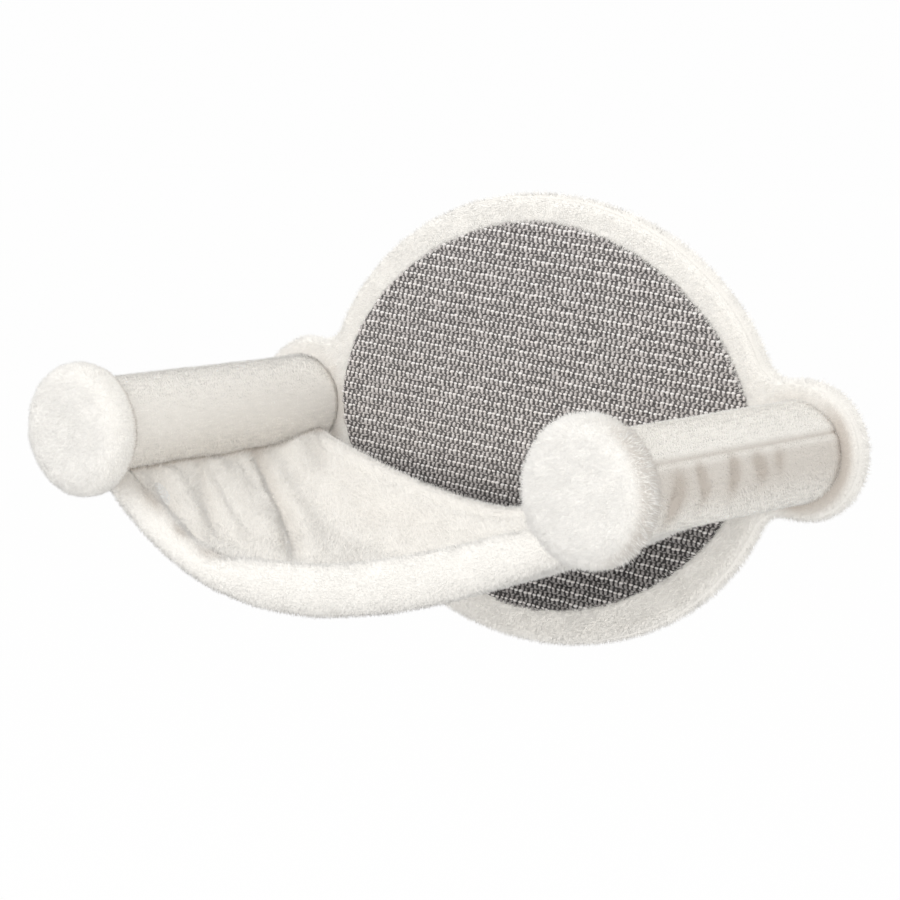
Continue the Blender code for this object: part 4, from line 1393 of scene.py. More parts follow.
class CATBED_OT_board_cover(bpy.types.Operator):
    """Draw plush over the board's edge, with its window, its hem and its pile"""

    bl_idname = "catbed.board_cover"
    bl_label = "Board cover"

    # The plush's outer and inner faces in front of the board and behind it
    FRONT, REAR = BOARD_FRONT + GAP, BOARD_BACK - GAP
    FACE, BACK = FRONT + BACKING, REAR - BACKING
    # The width of the lip round the window and its height over the face, the radius of the
    # rounded edge, and how far the face swells up
    LIP, LIP_RISE, EDGE, CROWN = 0.0012, 0.0006, 0.0078, 0.0013
    BACK_EDGE = EDGE * 0.6
    # The direction, to the right and up, in which the painted shadow ring round a post is darkest
    RING_RIGHT, RING_UP = 0.85, -0.53

    def execute(self, context):
        pile, _, cloth = plush_finishes(context.scene)
        mesh, board, window = self.cover_mesh("board_cover_cloth")
        outside = self.pile_and_shade(mesh, board, window)
        piece = new_piece("board_cover_cloth", mesh, cloth)
        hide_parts("board_cover")
        plush = context.scene.cat_bed_plush
        across = points_of(mesh)[:, 0]
        for side, sign in SIDES.items():
            half = piece.copy()
            half.data = mesh.copy()
            mark(half.data, pile=outside * (across * sign >= 0))
            pile_on(
                    half,
                    f"{side}_board_pile",
                    pile,
                    1.05e6,
                    plush.length,
                    plush.width,
                    11 + sign,
                    evenness=0.80,
                    facing=0.7,
                    **{"Lean": 0.8, "Tuft lean": 2.0, "Tuft scale": 60.0, "Nap": (0.1, 0.0, -0.35)},
                )
            bpy.data.objects.remove(half, do_unlink=True)
        return {"FINISHED"}

    @classmethod
    def cover_mesh(cls, name):
        """The plush as a C-shaped section that follows the outline, the window and the hem."""
        count = 460
        board, outer = eared_outline(0.0004, count), eared_outline(0.0020, count)
        turns = np.arctan2((outer[:, 1] - MAT_RISE) / MAT_HALF_HEIGHT, outer[:, 0] / MAT_HALF_WIDTH)
        turns = np.maximum.accumulate(np.unwrap(turns))
        window = oval_points(
            MAT_HALF_WIDTH + 0.0002, MAT_HALF_HEIGHT + 0.0002, MAT_RISE, turns, MAT_POWER
        )
        hem = oval_points(HEM_HALF_WIDTH, HEM_HALF_HEIGHT, BOARD_RISE, turns)
        inward, hemward = window - outer, hem - outer
        inward = inward / np.hypot(*inward.T)[:, None]
        hemward = hemward / np.hypot(*hemward.T)[:, None]
        start = outer + inward * cls.EDGE
        section = [
            (window, cls.FRONT),
            (window, cls.FACE - 0.0003),
            (window - inward * cls.LIP, cls.FACE + cls.LIP_RISE),
        ]
        for share in (0.2, 0.4, 0.6, 0.8):
            swell = (cls.CROWN - cls.LIP_RISE) * math.sin(math.pi / 2 * share)
            section.append((blend(window, start, share), cls.FACE + (cls.LIP_RISE + swell)))
        for turn in np.linspace(math.pi / 2, 0, 10):
            drop = (cls.EDGE + cls.CROWN) * (1 - math.sin(turn))
            place = outer + inward * cls.EDGE * (1 - math.cos(turn))
            section.append((place, cls.FACE + cls.CROWN - drop))
        for turn in np.linspace(0, math.pi / 2, 8):
            place = outer + hemward * cls.BACK_EDGE * (1 - math.cos(turn))
            section.append((place, cls.BACK + cls.BACK_EDGE * (1 - math.sin(turn))))
        section += [
            (blend(outer, hem, 0.4), cls.BACK),
            (blend(outer, hem, 0.7), cls.BACK),
            (hem - hemward * 0.0010, cls.BACK),
            (hem, cls.BACK + 0.0005),
            (hem, cls.REAR),
            (blend(board, hem, 0.5), cls.REAR),
            (board, cls.REAR),
            (board, cls.FRONT),
            (blend(board, window, 0.5), cls.FRONT),
        ]
        rows = [
            np.stack([place[:, 0], np.full(count, -reach), place[:, 1]], axis=-1)
            for place, reach in section
        ]
        mesh = skin(name, np.stack(rows, axis=1), loop_rows=True, loop_points=True)
        return mesh, board, window

    @classmethod
    def pile_and_shade(cls, mesh, board, window):
        """Makes the cover lumpy, and marks its pile and a darker ring of painted shadow round each
        post.
        """
        places, normals = points_of(mesh), normals_of(mesh)
        reach = -places[:, 1]
        in_front = reach > cls.FRONT
        outside = np.zeros(len(places))
        outside[reach > cls.FRONT + 0.0005] = 1.0
        outside[(cls.gap_to(places[:, [0, 2]], board) > 0.0008) & (reach > cls.REAR)] = 1.0
        outside *= 1 - 0.25 * ramp(0.3, 1.0, np.hypot(normals[:, 0], normals[:, 2]))
        on_back = (reach < cls.REAR - 0.0004) & (normals[:, 1] > 0.3)
        outside[on_back] = 0.16
        near_mat = 1 - ramp(0.0, 0.004, cls.gap_to(places[:, [0, 2]], window))
        outside *= 1 + 0.45 * near_mat * in_front
        bumps = lumps(places, 60.0, 2.0) * 0.0005 * np.minimum(outside, 1.0)
        bumps[on_back] = 0.0
        moved = places + normals * bumps[:, None]
        move_points(mesh, moved)
        shade = np.zeros(len(places))
        for side, sign in SIDES.items():
            across, up = moved[:, 0] - sign * POST_X, moved[:, 2]
            from_post = np.hypot(across, up)
            outside[(from_post < TUBE_RADIUS - 0.002) & in_front] = 0.0
            # Painted shadow: a ring round each post's foot, darkest to its lower right, away from
            # the key lamp, stronger at the right post, with thinner pile so the shaded cloth shows.
            ring = 1 - ramp(POST_GROUND + 0.0040, POST_GROUND + 0.0125, from_post)
            facing = (cls.RING_RIGHT * across + cls.RING_UP * up) / from_post
            ring = ring * in_front * (0.25 + 0.75 * ramp(-0.35, 0.45, facing))
            shade += (0.45 if side == "left" else 1.0) * ring
            outside *= 1 - 0.50 * ring
        mark(mesh, pile=outside, shade=shade)
        return outside

    @staticmethod
    def gap_to(places, line):
        """Distance of each place from the nearest point of a line."""
        best = np.full(len(places), 9.0)
        for start in range(0, len(line), 40):
            part = line[start : start + 40]
            gaps = np.hypot(
                places[:, None, 0] - part[None, :, 0], places[:, None, 1] - part[None, :, 1]
            )
            best = np.minimum(best, gaps.min(axis=1))
        return best


class CATBED_OT_scratch_mat(bpy.types.Operator):
    """Weave the scratch mat: rows of loops and cross yarns, and a cord on each rib whose paler
    colour is painted highlight along the rib's crest
    """

    bl_idname = "catbed.scratch_mat"
    bl_label = "Scratch mat"

    # Each yarn: its place in the pitch of columns and rows, its loop's size, how far the loops
    # tilt at random in radians, its finish and its seed
    YARNS = {
        "upper_loops": ((0.0, 0.22), (0.0028, 0.0044, 0.0018), 0.28, "loops", 3),
        "lower_loops": ((0.28, -0.26), (0.0028, 0.0036, 0.0017), 0.34, "loops", 5),
        "cross_loops": ((0.40, -0.02), (0.0040, 0.0014, 0.0015), 0.40, "loops", 9),
        "rib_cords": ((0.05, 0.48), (0.0042, 0.0023, 0.0022), 0.30, "cord", 7),
    }
    STRAY = 0.00042

    def execute(self, context):
        sisal = context.scene.cat_bed_sisal
        pale, dark = tuple(sisal.pale), tuple(sisal.dark)
        # Painted highlight: the cord's yarn is a paler copy of the loops' yarn, with less painted
        # shadow below the sling, for the light along each rib's crest.
        highlight_pale = tuple(min(1.2 * c, 1.0) for c in pale)
        finishes = {
            "loops": yarn_material("sisal_loops", pale, dark, 0.50),
            "cord": yarn_material("sisal_cord_highlight", highlight_pale, pale, 0.78),
        }
        tree = group_named("Woven loops", weave_tree)
        empty = bpy.data.meshes.new("ground")
        pitch = sisal.column_pitch
        slant = abs(math.sin(WEAVE_TURN))
        rows = int(2 * (MAT_HALF_HEIGHT + slant * MAT_HALF_WIDTH) / ROW_PITCH) + 2
        columns = int(2 * (MAT_HALF_WIDTH + slant * MAT_HALF_HEIGHT) / pitch) + 2
        common = {
            "Half width": MAT_HALF_WIDTH + 0.0003,
            "Half height": MAT_HALF_HEIGHT + 0.0003,
            "Power": MAT_POWER,
            "Column pitch": pitch,
            "Row pitch": ROW_PITCH,
            "Turn": WEAVE_TURN,
            "Columns": columns,
            "Rows": rows,
            "Stray": self.STRAY,
        }
        for name, (shift, loop, tilt, finish, seed) in self.YARNS.items():
            inputs = {
                **common,
                "Shift": (shift[0] * pitch, shift[1] * ROW_PITCH, 0.0),
                "Loop": loop,
                "Tilt": tilt,
                "Seed": seed,
            }
            item = grown(f"scratch_mat_{name}", tree, empty.copy(), inputs, finishes[finish])
            item.data.transform(Matrix.Translation((0.0, -MAT_FRONT + 0.0002, MAT_RISE)))
        return {"FINISHED"}


# Each gather beside a seam: how far out it lies, its half width, how far below the seam its
# middle is and half its height, both as angles in radians, and its strength
GATHERS = [
    (0.2100, 0.0075, 0.85, 0.55, 1.0),
    (0.1820, 0.0050, 0.50, 0.36, 1.0),
    (0.1475, 0.0060, 0.42, 0.42, 0.80),
    (0.1160, 0.0075, 0.40, 0.30, 0.75),
    (0.0930, 0.0060, 0.34, 0.26, 0.45),
]


def gathers(below, reach):
    """Soft gathers beside the seam, 1 in their hollows: below is the angle from the seam."""
    wave = 0.0
    for place, width, middle, tall, strength in GATHERS:
        bent = 0.004 * below + 0.0018 * np.sin(5 * below + 90 * place)
        gap = np.hypot((reach + bent - place) / width, (below - middle) / tall)
        wave = wave + strength * bell(gap, 1.0)
    return np.clip(wave, 0, 1) * ramp(0.02, 0.10, below)


class CATBED_OT_post_sleeves(bpy.types.Operator):
    """Wrap each post in short plush closed by a lengthwise seam"""

    bl_idname = "catbed.post_sleeves"
    bl_label = "Post sleeves"

    BORE = TUBE_RADIUS + GAP
    # How far from its front end the sleeve is stitched
    STITCHED = 0.0075
    # For each side: how deep its gathers are, how much painted shade lies in their hollows and its
    # pile's evenness
    GATHERED = {"left": (0.0003, 0.05, 0.35), "right": (0.0016, 1.00, 0.15)}

    def execute(self, context):
        _, post_pile, cloth = plush_finishes(context.scene)
        plush = context.scene.cat_bed_plush
        for side, sign in SIDES.items():
            mesh = self.sleeve_mesh(side, sign)
            self.pile_and_shade(mesh, side, sign)
            piece = new_piece(f"{side}_sleeve_cloth", mesh, cloth)
            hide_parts(f"{side}_post_sleeve")
            grown_pile = pile_on(
                piece,
                f"{side}_sleeve_pile",
                post_pile,
                0.86e6,
                plush.short_length * 1.2,
                plush.width,
                21 + sign,
                evenness=self.GATHERED[side][2],
                **{"Nap": (0.05, -1.3, 0.0), "Lean": 0.3, "Tuft lean": 0.5, "Tuft scale": 50.0},
            )
        return {"FINISHED"}

    @staticmethod
    def from_seam(turns, side):
        """Angles from the seam, between minus and plus half a turn."""
        seam = math.radians(SEAM_ANGLES[side])
        return (turns - seam + math.pi) % (2 * math.pi) - math.pi

    @classmethod
    def sleeve_mesh(cls, side, sign):
        """The cloth round a post, with its seam, its gathers and the stitched end."""
        hemmed = np.linspace(TUBE_FRONT - 0.0002, TUBE_FRONT - 0.014, 15)
        reaches = np.concatenate([hemmed, np.linspace(TUBE_FRONT - 0.017, TUBE_REAR, 58)])
        profile = [(cls.BORE, TUBE_FRONT)]
        profile += [(POST_GROUND, reach) for reach in reaches]
        profile += [(cls.BORE, TUBE_REAR), (cls.BORE, (TUBE_REAR + TUBE_FRONT) / 2)]
        outer = np.array([0.0] + [1.0] * len(reaches) + [0.0, 0.0])[None, :]

        def radius_at(turns, reach, radius):
            off = cls.from_seam(turns, side)
            gap = np.abs(off) * SLEEVE_RADIUS
            lift = 0.0004 * bell(gap - 0.0042, 0.0030)
            lift = lift - 0.0012 * bell(gap, 0.0018)
            lift = lift - cls.GATHERED[side][0] * gathers(-sign * off, reach)
            lift = lift - 0.0009 * bell(TUBE_FRONT - reach - cls.STITCHED, 0.0012)
            places = np.stack(
                np.broadcast_arrays(np.cos(turns) * 0.03, reach * 0.6, np.sin(turns) * 0.03),
                axis=-1,
            ).reshape(-1, 3)
            soft = lumps(places, 55.0, 6.0 + sign).reshape(np.broadcast(turns, reach).shape)
            lift = lift + 0.0004 * soft
            return radius + lift * outer

        rows = turned_rows(profile, 112, sign * POST_X, radius_at)
        return skin(f"{side}_sleeve_cloth", rows, loop_rows=True, loop_points=True)

    @classmethod
    def pile_and_shade(cls, mesh, side, sign):
        """Marks the pile, and the painted shade at the seam, the gathers, both ends and below."""
        places = points_of(mesh)
        across = places[:, 0] - sign * POST_X
        turns = np.arctan2(places[:, 2], across)
        below = -sign * cls.from_seam(turns, side)
        off = np.abs(below) * SLEEVE_RADIUS
        end, start = TUBE_FRONT + places[:, 1], -places[:, 1] - TUBE_REAR
        outside = (np.hypot(across, places[:, 2]) > cls.BORE + 0.0004).astype(float)
        outside *= 1 - 0.55 * bell(off, 0.0012)
        outside *= 0.35 + 0.65 * ramp(0.0, 0.004, end)
        outside *= 1.5 - 0.5 * ramp(0.001, 0.012, start)
        # Painted shade: the seam and the stitched line are real, and the darkening along them is
        # painted shade in their grooves; the crevices against the cap and the board and the
        # gathers' hollows are painted shade too.
        shade = 0.6 * bell(off, 0.0022)
        shade += 0.9 * (1 - ramp(0.0015, 0.0070, end))
        shade += 0.3 * bell(end - cls.STITCHED, 0.0013)
        shade += 0.30 * (1 - ramp(0.0, 0.007, start))
        shade += cls.GATHERED[side][1] * gathers(below, -places[:, 1])
        if side == "left":
            # Painted shade on the left sleeve's lower side.
            shade += 0.18 * ramp(0.1, -0.9, np.sin(turns))
        else:
            # Painted shade on the right sleeve below its seam, the side away from the key lamp.
            shade += 0.56 * ramp(0.02, 0.25, below) * (1 - ramp(0.5, 1.4, below))
        mark(mesh, pile=outside, shade=np.clip(shade, 0, 1))


class CATBED_OT_caps(bpy.types.Operator):
    """Cover each padded cap in long plush gathered behind it"""

    bl_idname = "catbed.caps"
    bl_label = "Caps"

    # The plush over a cap: its radius, how far out its face is, how round the face's edge is
    # and how far out the plush behind the disc is
    EDGE = CAP_RADIUS + GAP + BACKING
    FACE = PADDING_FRONT + GAP + BACKING + 0.0040
    ROUND = 0.013
    REAR = CAP_REAR - GAP
    BACK = REAR - 0.0016
    FLAT = EDGE - ROUND

    def execute(self, context):
        pile, _, cloth = plush_finishes(context.scene)
        plush = context.scene.cat_bed_plush
        foam = speckled_material(
            "cap_foam", (0.86, 0.83, 0.72), (0.74, 0.70, 0.58), 900.0, 0.85, 0.0006
        )
        for side, sign in SIDES.items():
            x = sign * POST_X
            foam_pad = new_piece(
                f"{side}_cap_foam", self.padding_mesh(f"{side}_cap_foam", x), foam
            )
            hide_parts(f"{side}_cap_padding")
            mesh = self.cover_mesh(f"{side}_cap_cloth", x)
            self.pile_and_shade(mesh, x)
            piece = new_piece(f"{side}_cap_cloth", mesh, cloth)
            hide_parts(f"{side}_cap_cover")
            grown_pile = pile_on(
                piece,
                f"{side}_cap_pile",
                pile,
                2.9e6,
                plush.length * (0.80 if side == "left" else 1.20),
                plush.width * 0.9,
                31 + sign,
                evenness=(0.25, 0.70),
                **{"Lean": 0.9, "Tuft lean": 1.8, "Tuft scale": 90.0, "Nap": (0.0, 0.2, -0.3)},
            )
            if side == "right":
                self.tufts(piece, x, pile, plush.length * 1.7, plush.width * 1.9)
        return {"FINISHED"}

    @classmethod
    def padding_mesh(cls, name, x):
        """The foam on the disc, which fills the plush up to its rounded edge."""
        inside = cls.ROUND - BACKING - GAP
        start = math.asin((PADDING_REAR - cls.FACE + cls.ROUND) / inside)
        pad = [(0.0, PADDING_REAR)]
        for turn in np.linspace(start, math.pi / 2, 8):
            reach = cls.FACE - cls.ROUND + inside * math.sin(turn)
            pad.append((cls.FLAT + inside * math.cos(turn), reach))
        pad.append((0.0, cls.FACE - cls.ROUND + inside))
        return skin(name, turned_rows(pad, 64, x), loop_rows=True)

    @classmethod
    def cover_mesh(cls, name, x):
        """Cloth over the disc and its foam, with small gathers round the mouth behind."""
        edge, face, rear, back, flat = cls.EDGE, cls.FACE, cls.REAR, cls.BACK, cls.FLAT
        room, front = edge - BACKING, face - BACKING
        arc = np.linspace(math.pi / 2, 0, 12)
        outer = [(flat * share, face + 0.0006 * (1 - share**2)) for share in np.linspace(0, 0.9, 9)]
        outer += [
            (flat + cls.ROUND * math.cos(turn), face - cls.ROUND * (1 - math.sin(turn)))
            for turn in arc
        ]
        outer.append((edge, back + 0.0065))
        for turn in np.linspace(0, math.pi / 2, 6)[1:]:
            outer.append(
                (edge - 0.0050 * (1 - math.cos(turn)), back + 0.0050 * (1 - math.sin(turn)))
            )
        outer += [(radius, back) for radius in np.linspace(edge - 0.007, CAP_MOUTH, 8)]
        inner = [(CAP_MOUTH, rear), (room * 0.8, rear), (room, rear)]
        inner += [
            (
                flat + (cls.ROUND - BACKING) * math.cos(turn),
                face - cls.ROUND + (cls.ROUND - BACKING) * math.sin(turn),
            )
            for turn in arc[::-2]
        ]
        inner.append((0.0, front))
        marks = np.array([1.0] * len(outer) + [0.0] * len(inner))[None, :]

        def radius_at(turns, reach, radius):
            gather = np.cos(26 * turns + 2 * np.sin(3 * turns))
            behind = (reach < back + 0.004) & (radius > CAP_MOUTH - 0.001)
            return radius + 0.0006 * gather * behind * marks * (radius < edge - 0.001)

        rows = turned_rows(outer + inner, 112, x, radius_at)
        return skin(name, rows, loop_rows=True)

    @classmethod
    def pile_and_shade(cls, mesh, x):
        """Makes the cover lumpy, and marks its pile and the painted shade behind it and on its
        side.
        """
        edge, face, rear, back, flat = cls.EDGE, cls.FACE, cls.REAR, cls.BACK, cls.FLAT
        places, normals = points_of(mesh), normals_of(mesh)
        spread, right = np.hypot(places[:, 0] - x, places[:, 2]), places[:, 0] - x
        reach = -places[:, 1]
        round_out = np.clip(reach - face + cls.ROUND, 0, None)
        away = np.where(spread > flat, np.hypot(spread - flat, round_out), round_out)
        outside = (away > cls.ROUND - BACKING / 2) | (spread > edge - 0.0006)
        outside |= (reach < rear - 0.0006) & (spread > CAP_MOUTH + 0.0005)
        outside = outside.astype(float)
        bumps = lumps(places, 75.0, 3.0) * 0.0006 * outside
        move_points(mesh, places + normals * bumps[:, None])
        behind = (reach < rear - 0.0002) & (spread < edge - 0.003)
        rearward = 0.45 + 0.55 * ramp(back, back + 0.013, reach)
        pile = np.where(behind, 0.25 * ramp(CAP_MOUTH, CAP_MOUTH + 0.004, spread), outside)
        pile = np.where(spread > edge - 0.003, np.minimum(pile, rearward), pile)
        # Painted shade in the gap between the cap's back edge and the sleeve, and below on the back
        # of the cap.
        gap = (1 - ramp(back + 0.0010, back + 0.0060, reach)) * (spread > edge - 0.006)
        # Painted shade on the right cap's right side, which faces away from the key lamp.
        side_shade = (0.70 if x > 0 else 0.0) * ramp(flat + cls.ROUND * 0.35, edge - 0.002, spread)
        side_shade = side_shade * (1 - ramp(face - 0.008, face - 0.002, reach))
        side_shade = side_shade * ramp(0.0, 0.8, right / np.maximum(spread, 1e-6))
        shade = np.maximum(np.maximum(0.7 * behind, gap), side_shade)
        mark(mesh, pile=pile * outside, shade=shade)

    @classmethod
    def tufts(cls, piece, x, material, length, width):
        """Longer loose strands on the right of a cap's side, next to its face."""
        mesh = piece.data.copy()
        places = points_of(mesh)
        right, reach = places[:, 0] - x, -places[:, 1]
        spread = np.hypot(right, places[:, 2])
        ring = ramp(cls.FACE - 0.020, cls.FACE - 0.012, reach)
        ring = ring * (1 - ramp(cls.FACE - 0.007, cls.FACE - 0.002, reach))
        ring = ring * ramp(-0.1, 0.6, right / np.maximum(spread, 1e-6))
        mark(mesh, pile=ring * (spread > cls.FLAT), shade=np.zeros(len(places)))
        ground = bpy.data.objects.new("tufted", mesh)
        grown_tufts = pile_on(
            ground,
            "right_cap_tufts",
            material,
            0.34e6,
            length,
            width,
            37,
            evenness=0.15,
            **{"Lean": 0.5, "Tuft lean": 3.2, "Tuft scale": 170.0, "Nap": (0.5, 0.5, -0.4)},
        )
        bpy.data.objects.remove(ground)
        return grown_tufts


class CATBED_OT_sling(bpy.types.Operator):
    """Hang the sling's layers with their folds between the posts"""

    bl_idname = "catbed.sling"
    bl_label = "Sling"

    # Points across the sling, and rows of them between the rims and over the back rim
    ACROSS, DEEP, OVER = 150, 66, 12
    # The thickness of the top and the underside, and the gap between them and the wadding
    TOP_THICK, UNDER_THICK, LAYER_GAP = 0.0016, 0.0017, 0.0002
    # How far the wadding hangs where it is full, and the least of it
    WADDING, LEAST_WADDING = 0.0068, 0.0014
    SETTLING_FRAMES, SETTLING_REACH = 24, 0.007

    def execute(self, context):
        pile, _, cloth = plush_finishes(context.scene)
        plush, sling = context.scene.cat_bed_plush, context.scene.cat_bed_sling
        x, reach = self.points_across()
        flat = np.stack([x, -reach, top_height(x, reach)], axis=-1)
        lift, depth_in = creased(x, reach)
        top = self.folded(flat, lift * sling.fold_height, sling.spare)
        beside = np.hypot(POST_X - np.abs(flat[..., 0]), flat[..., 2]) - POST_GROUND
        # Painted shade: in the folds' valleys and dimples, in the crevice against each post, a
        # little darker near the posts, and along the line sewn to the front rim.
        shade = 0.34 * smoothed(depth_in, 1) + 0.90 * bell(beside, 0.0042)
        shade += 0.03 * (1 - ramp(0.0, 0.030, beside))
        shade = np.clip(shade.reshape(-1) + sewn_shade(top.reshape(-1, 3)), 0, 1)
        fibre = fibre_material("wadding_fibre")
        pieces = {}
        for name, (upper, lower) in self.layers(flat, top, beside).items():
            mesh = solid_sheet(name, upper, lower)
            count = len(mesh.vertices) // 2
            on_top = np.arange(2 * count) < count
            seen = on_top if name == "hammock_top_cloth" else ~on_top
            values = np.concatenate([shade[:count], np.zeros(count)]) * seen
            mark(mesh, pile=seen.astype(float), shade=values)
            pieces[name] = new_piece(name, mesh, fibre if name == "hammock_fibre" else cloth)
        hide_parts("hammock_top")
        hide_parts("hammock_wadding")
        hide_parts("hammock_underside")
        for name, label, strands, seed in (
            ("hammock_top_cloth", "hammock_top_pile", 0.54e6, 41),
            ("hammock_underside_cloth", "hammock_underside_pile", 0.24e6, 43),
        ):
            piece = pieces[name]
            grown_pile = pile_on(
                piece,
                label,
                pile,
                strands,
                plush.short_length * 1.45,
                plush.width * 1.2,
                seed,
                **{"Lean": 0.7, "Tuft lean": 1.6, "Tuft scale": 60.0},
            )
        return {"FINISHED"}

    @classmethod
    def points_across(cls):
        """The grid between the rims, and more rows that run on over the back rim."""
        x, reach = sling_rows(cls.ACROSS, cls.DEEP)
        steps = np.linspace(0, 1, cls.OVER, endpoint=False)[:, None]
        reach = np.concatenate([blend(BACK_RIM_OUT - 0.004, reach[:1], steps), reach])
        return np.concatenate([np.repeat(x[:1], cls.OVER, axis=0), x]), reach

    @classmethod
    def folded(cls, flat, lift, spare):
        """The top layer with its folds, settled as cloth and held at its edges."""
        row, column = (np.arange(count) for count in flat.shape[:2])
        ends = np.minimum(row[:, None] / 5.0, row[::-1][:, None] / 2.5)
        sides = np.minimum(column[None, :], column[::-1][None, :]) / 4.0
        hold = ramp(0, 1, np.minimum(ends, 1.0)) * ramp(0, 1, np.minimum(sides, 1.0))
        top = flat.copy()
        top[..., 2] += lift * hold
        top = settled(top, spare, cls.SETTLING_FRAMES, cls.SETTLING_REACH)
        return clear_of_cores(top)

    @classmethod
    def layers(cls, flat, top, beside):
        """Upper and lower points of each layer; only the top one runs over the back rim."""
        x, reach = flat[..., 0], -flat[..., 1]
        normals = grid_normals(flat)
        follow = smoothed(np.einsum("ijk,ijk->ij", top - flat, normals), 14)
        plump = 0.45 + 0.55 * ramp(0.0, 0.07, beside)
        level = sling_height(x, reach) + 0.85 * puffed(x, reach) - 0.0010 - cls.WADDING * plump
        level = level + np.clip(follow, -0.003, 0.002) * 0.8
        thread = top - normals * cls.TOP_THICK
        floor = np.minimum(level, thread[..., 2] - cls.LEAST_WADDING)
        down = top - normals * (cls.TOP_THICK + cls.LAYER_GAP)
        up, belly, base = flat.copy(), flat.copy(), flat.copy()
        up[..., 2], belly[..., 2], base[..., 2] = (
            floor + cls.LAYER_GAP,
            floor,
            floor - cls.UNDER_THICK,
        )
        return {
            "hammock_top_cloth": (top, thread),
            "hammock_fibre": (down[cls.OVER :], up[cls.OVER :]),
            "hammock_underside_cloth": (belly[cls.OVER :], base[cls.OVER :]),
        }


class CATBED_OT_rims(bpy.types.Operator):
    """Roll the padded rims at the sling's front and back"""

    bl_idname = "catbed.rims"
    bl_label = "Rims"

    # Rings along a rim and points round each
    STATIONS, ROUND = 170, 40

    def execute(self, context):
        pile, _, cloth = plush_finishes(context.scene)
        plush = context.scene.cat_bed_plush
        for name, front, strands, seed in (
            ("front_rim", True, 0.90e6, 51),
            ("back_rim", False, 0.55e6, 53),
        ):
            outer = rim_rows(front, 0.0012, self.STATIONS, self.ROUND, 0.03)
            inner = rim_rows(front, RIM_WALL - GAP, self.STATIONS, self.ROUND)
            rows = np.concatenate([outer, inner[::-1]])
            mesh = skin(f"{name}_cloth", rows, loop_rows=True, loop_points=True)
            mesh = self.between_posts(f"{name}_cloth", mesh)
            if front:
                self.filling(name)
            places, normals = points_of(mesh), normals_of(mesh)
            centres = rim_rows(front, 0.0, self.STATIONS, self.ROUND).mean(axis=1)
            nearest = np.hypot(
                places[:, None, 0] - centres[None, :, 0], places[:, None, 2] - centres[None, :, 2]
            ).argmin(axis=1)
            away = places - centres[nearest]
            outward = np.einsum("ij,ij->i", away, normals) > 0
            seen = outward & clear_of_posts(places, 0.0006)
            # Painted shade along the sewn line and in the dimples, on the front rim only.
            shade = np.clip(sewn_shade(places), 0, 1) * seen * front
            mark(mesh, pile=seen.astype(float), shade=shade)
            piece = new_piece(f"{name}_cloth", mesh, cloth)
            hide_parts(f"{name}_cover")
            pile_on(
                piece,
                f"{name}_pile",
                pile,
                strands,
                plush.short_length * 1.25,
                plush.width * 1.1,
                seed,
                **{"Lean": 0.8, "Tuft lean": 1.8, "Tuft scale": 60.0},
            )
        return {"FINISHED"}

    @staticmethod
    def between_posts(name, mesh):
        """The mesh without what lies inside the posts' plush."""
        mesh = trimmed(name, mesh, [post_cutter(x) for x in (-POST_X, POST_X)])
        tidied(mesh, recalculate=False)
        mesh.materials.clear()
        return mesh

    def filling(self, name):
        """The front rim's filling, which follows its cover where the rim is pressed thinner."""
        stations, sides = 90, 24
        rows = rim_rows(True, RIM_WALL + 0.0002, stations, sides)
        middles = np.repeat(rows.mean(axis=1, keepdims=True), sides, axis=1)
        rows = np.concatenate([middles[:1], rows, middles[-1:]])
        mesh = self.between_posts(f"{name}_fibre", skin(f"{name}_fibre", rows, loop_points=True))
        piece = new_piece(f"{name}_fibre", mesh, fibre_material("rim_filling_fibre"))
        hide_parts(f"{name}_filling")


class CATBED_OT_hem_staples(bpy.types.Operator):
    """Drive wire staples through the hem all round the board's back"""

    bl_idname = "catbed.hem_staples"
    bl_label = "Hem staples"

    def execute(self, context):
        steel = speckled_material(
            "staple_wire", (0.60, 0.60, 0.61), (0.48, 0.48, 0.50), 700.0, 0.32, 0.0001, 1.0
        )
        tree = group_named("Staple row", staple_tree)
        turns = np.linspace(0, 2 * math.pi, 400, endpoint=False)
        outward = 0.007
        line = oval_points(
            HEM_HALF_WIDTH + outward, HEM_HALF_HEIGHT + outward, BOARD_RISE, turns
        )
        mesh = bpy.data.meshes.new("hem line")
        places = [(x, 0.0, z) for x, z in line]
        edges = [(i, (i + 1) % len(places)) for i in range(len(places))]
        mesh.from_pydata(places, edges, [])
        inputs = {"Number": 54, "Crown": 0.0100, "Wire": 0.0007, "Seed": 4}
        staples = grown("hem_staples", tree, mesh, inputs, steel)
        staples.data.transform(Matrix.Translation((0.0, -0.0008, 0.0)))
        return {"FINISHED"}


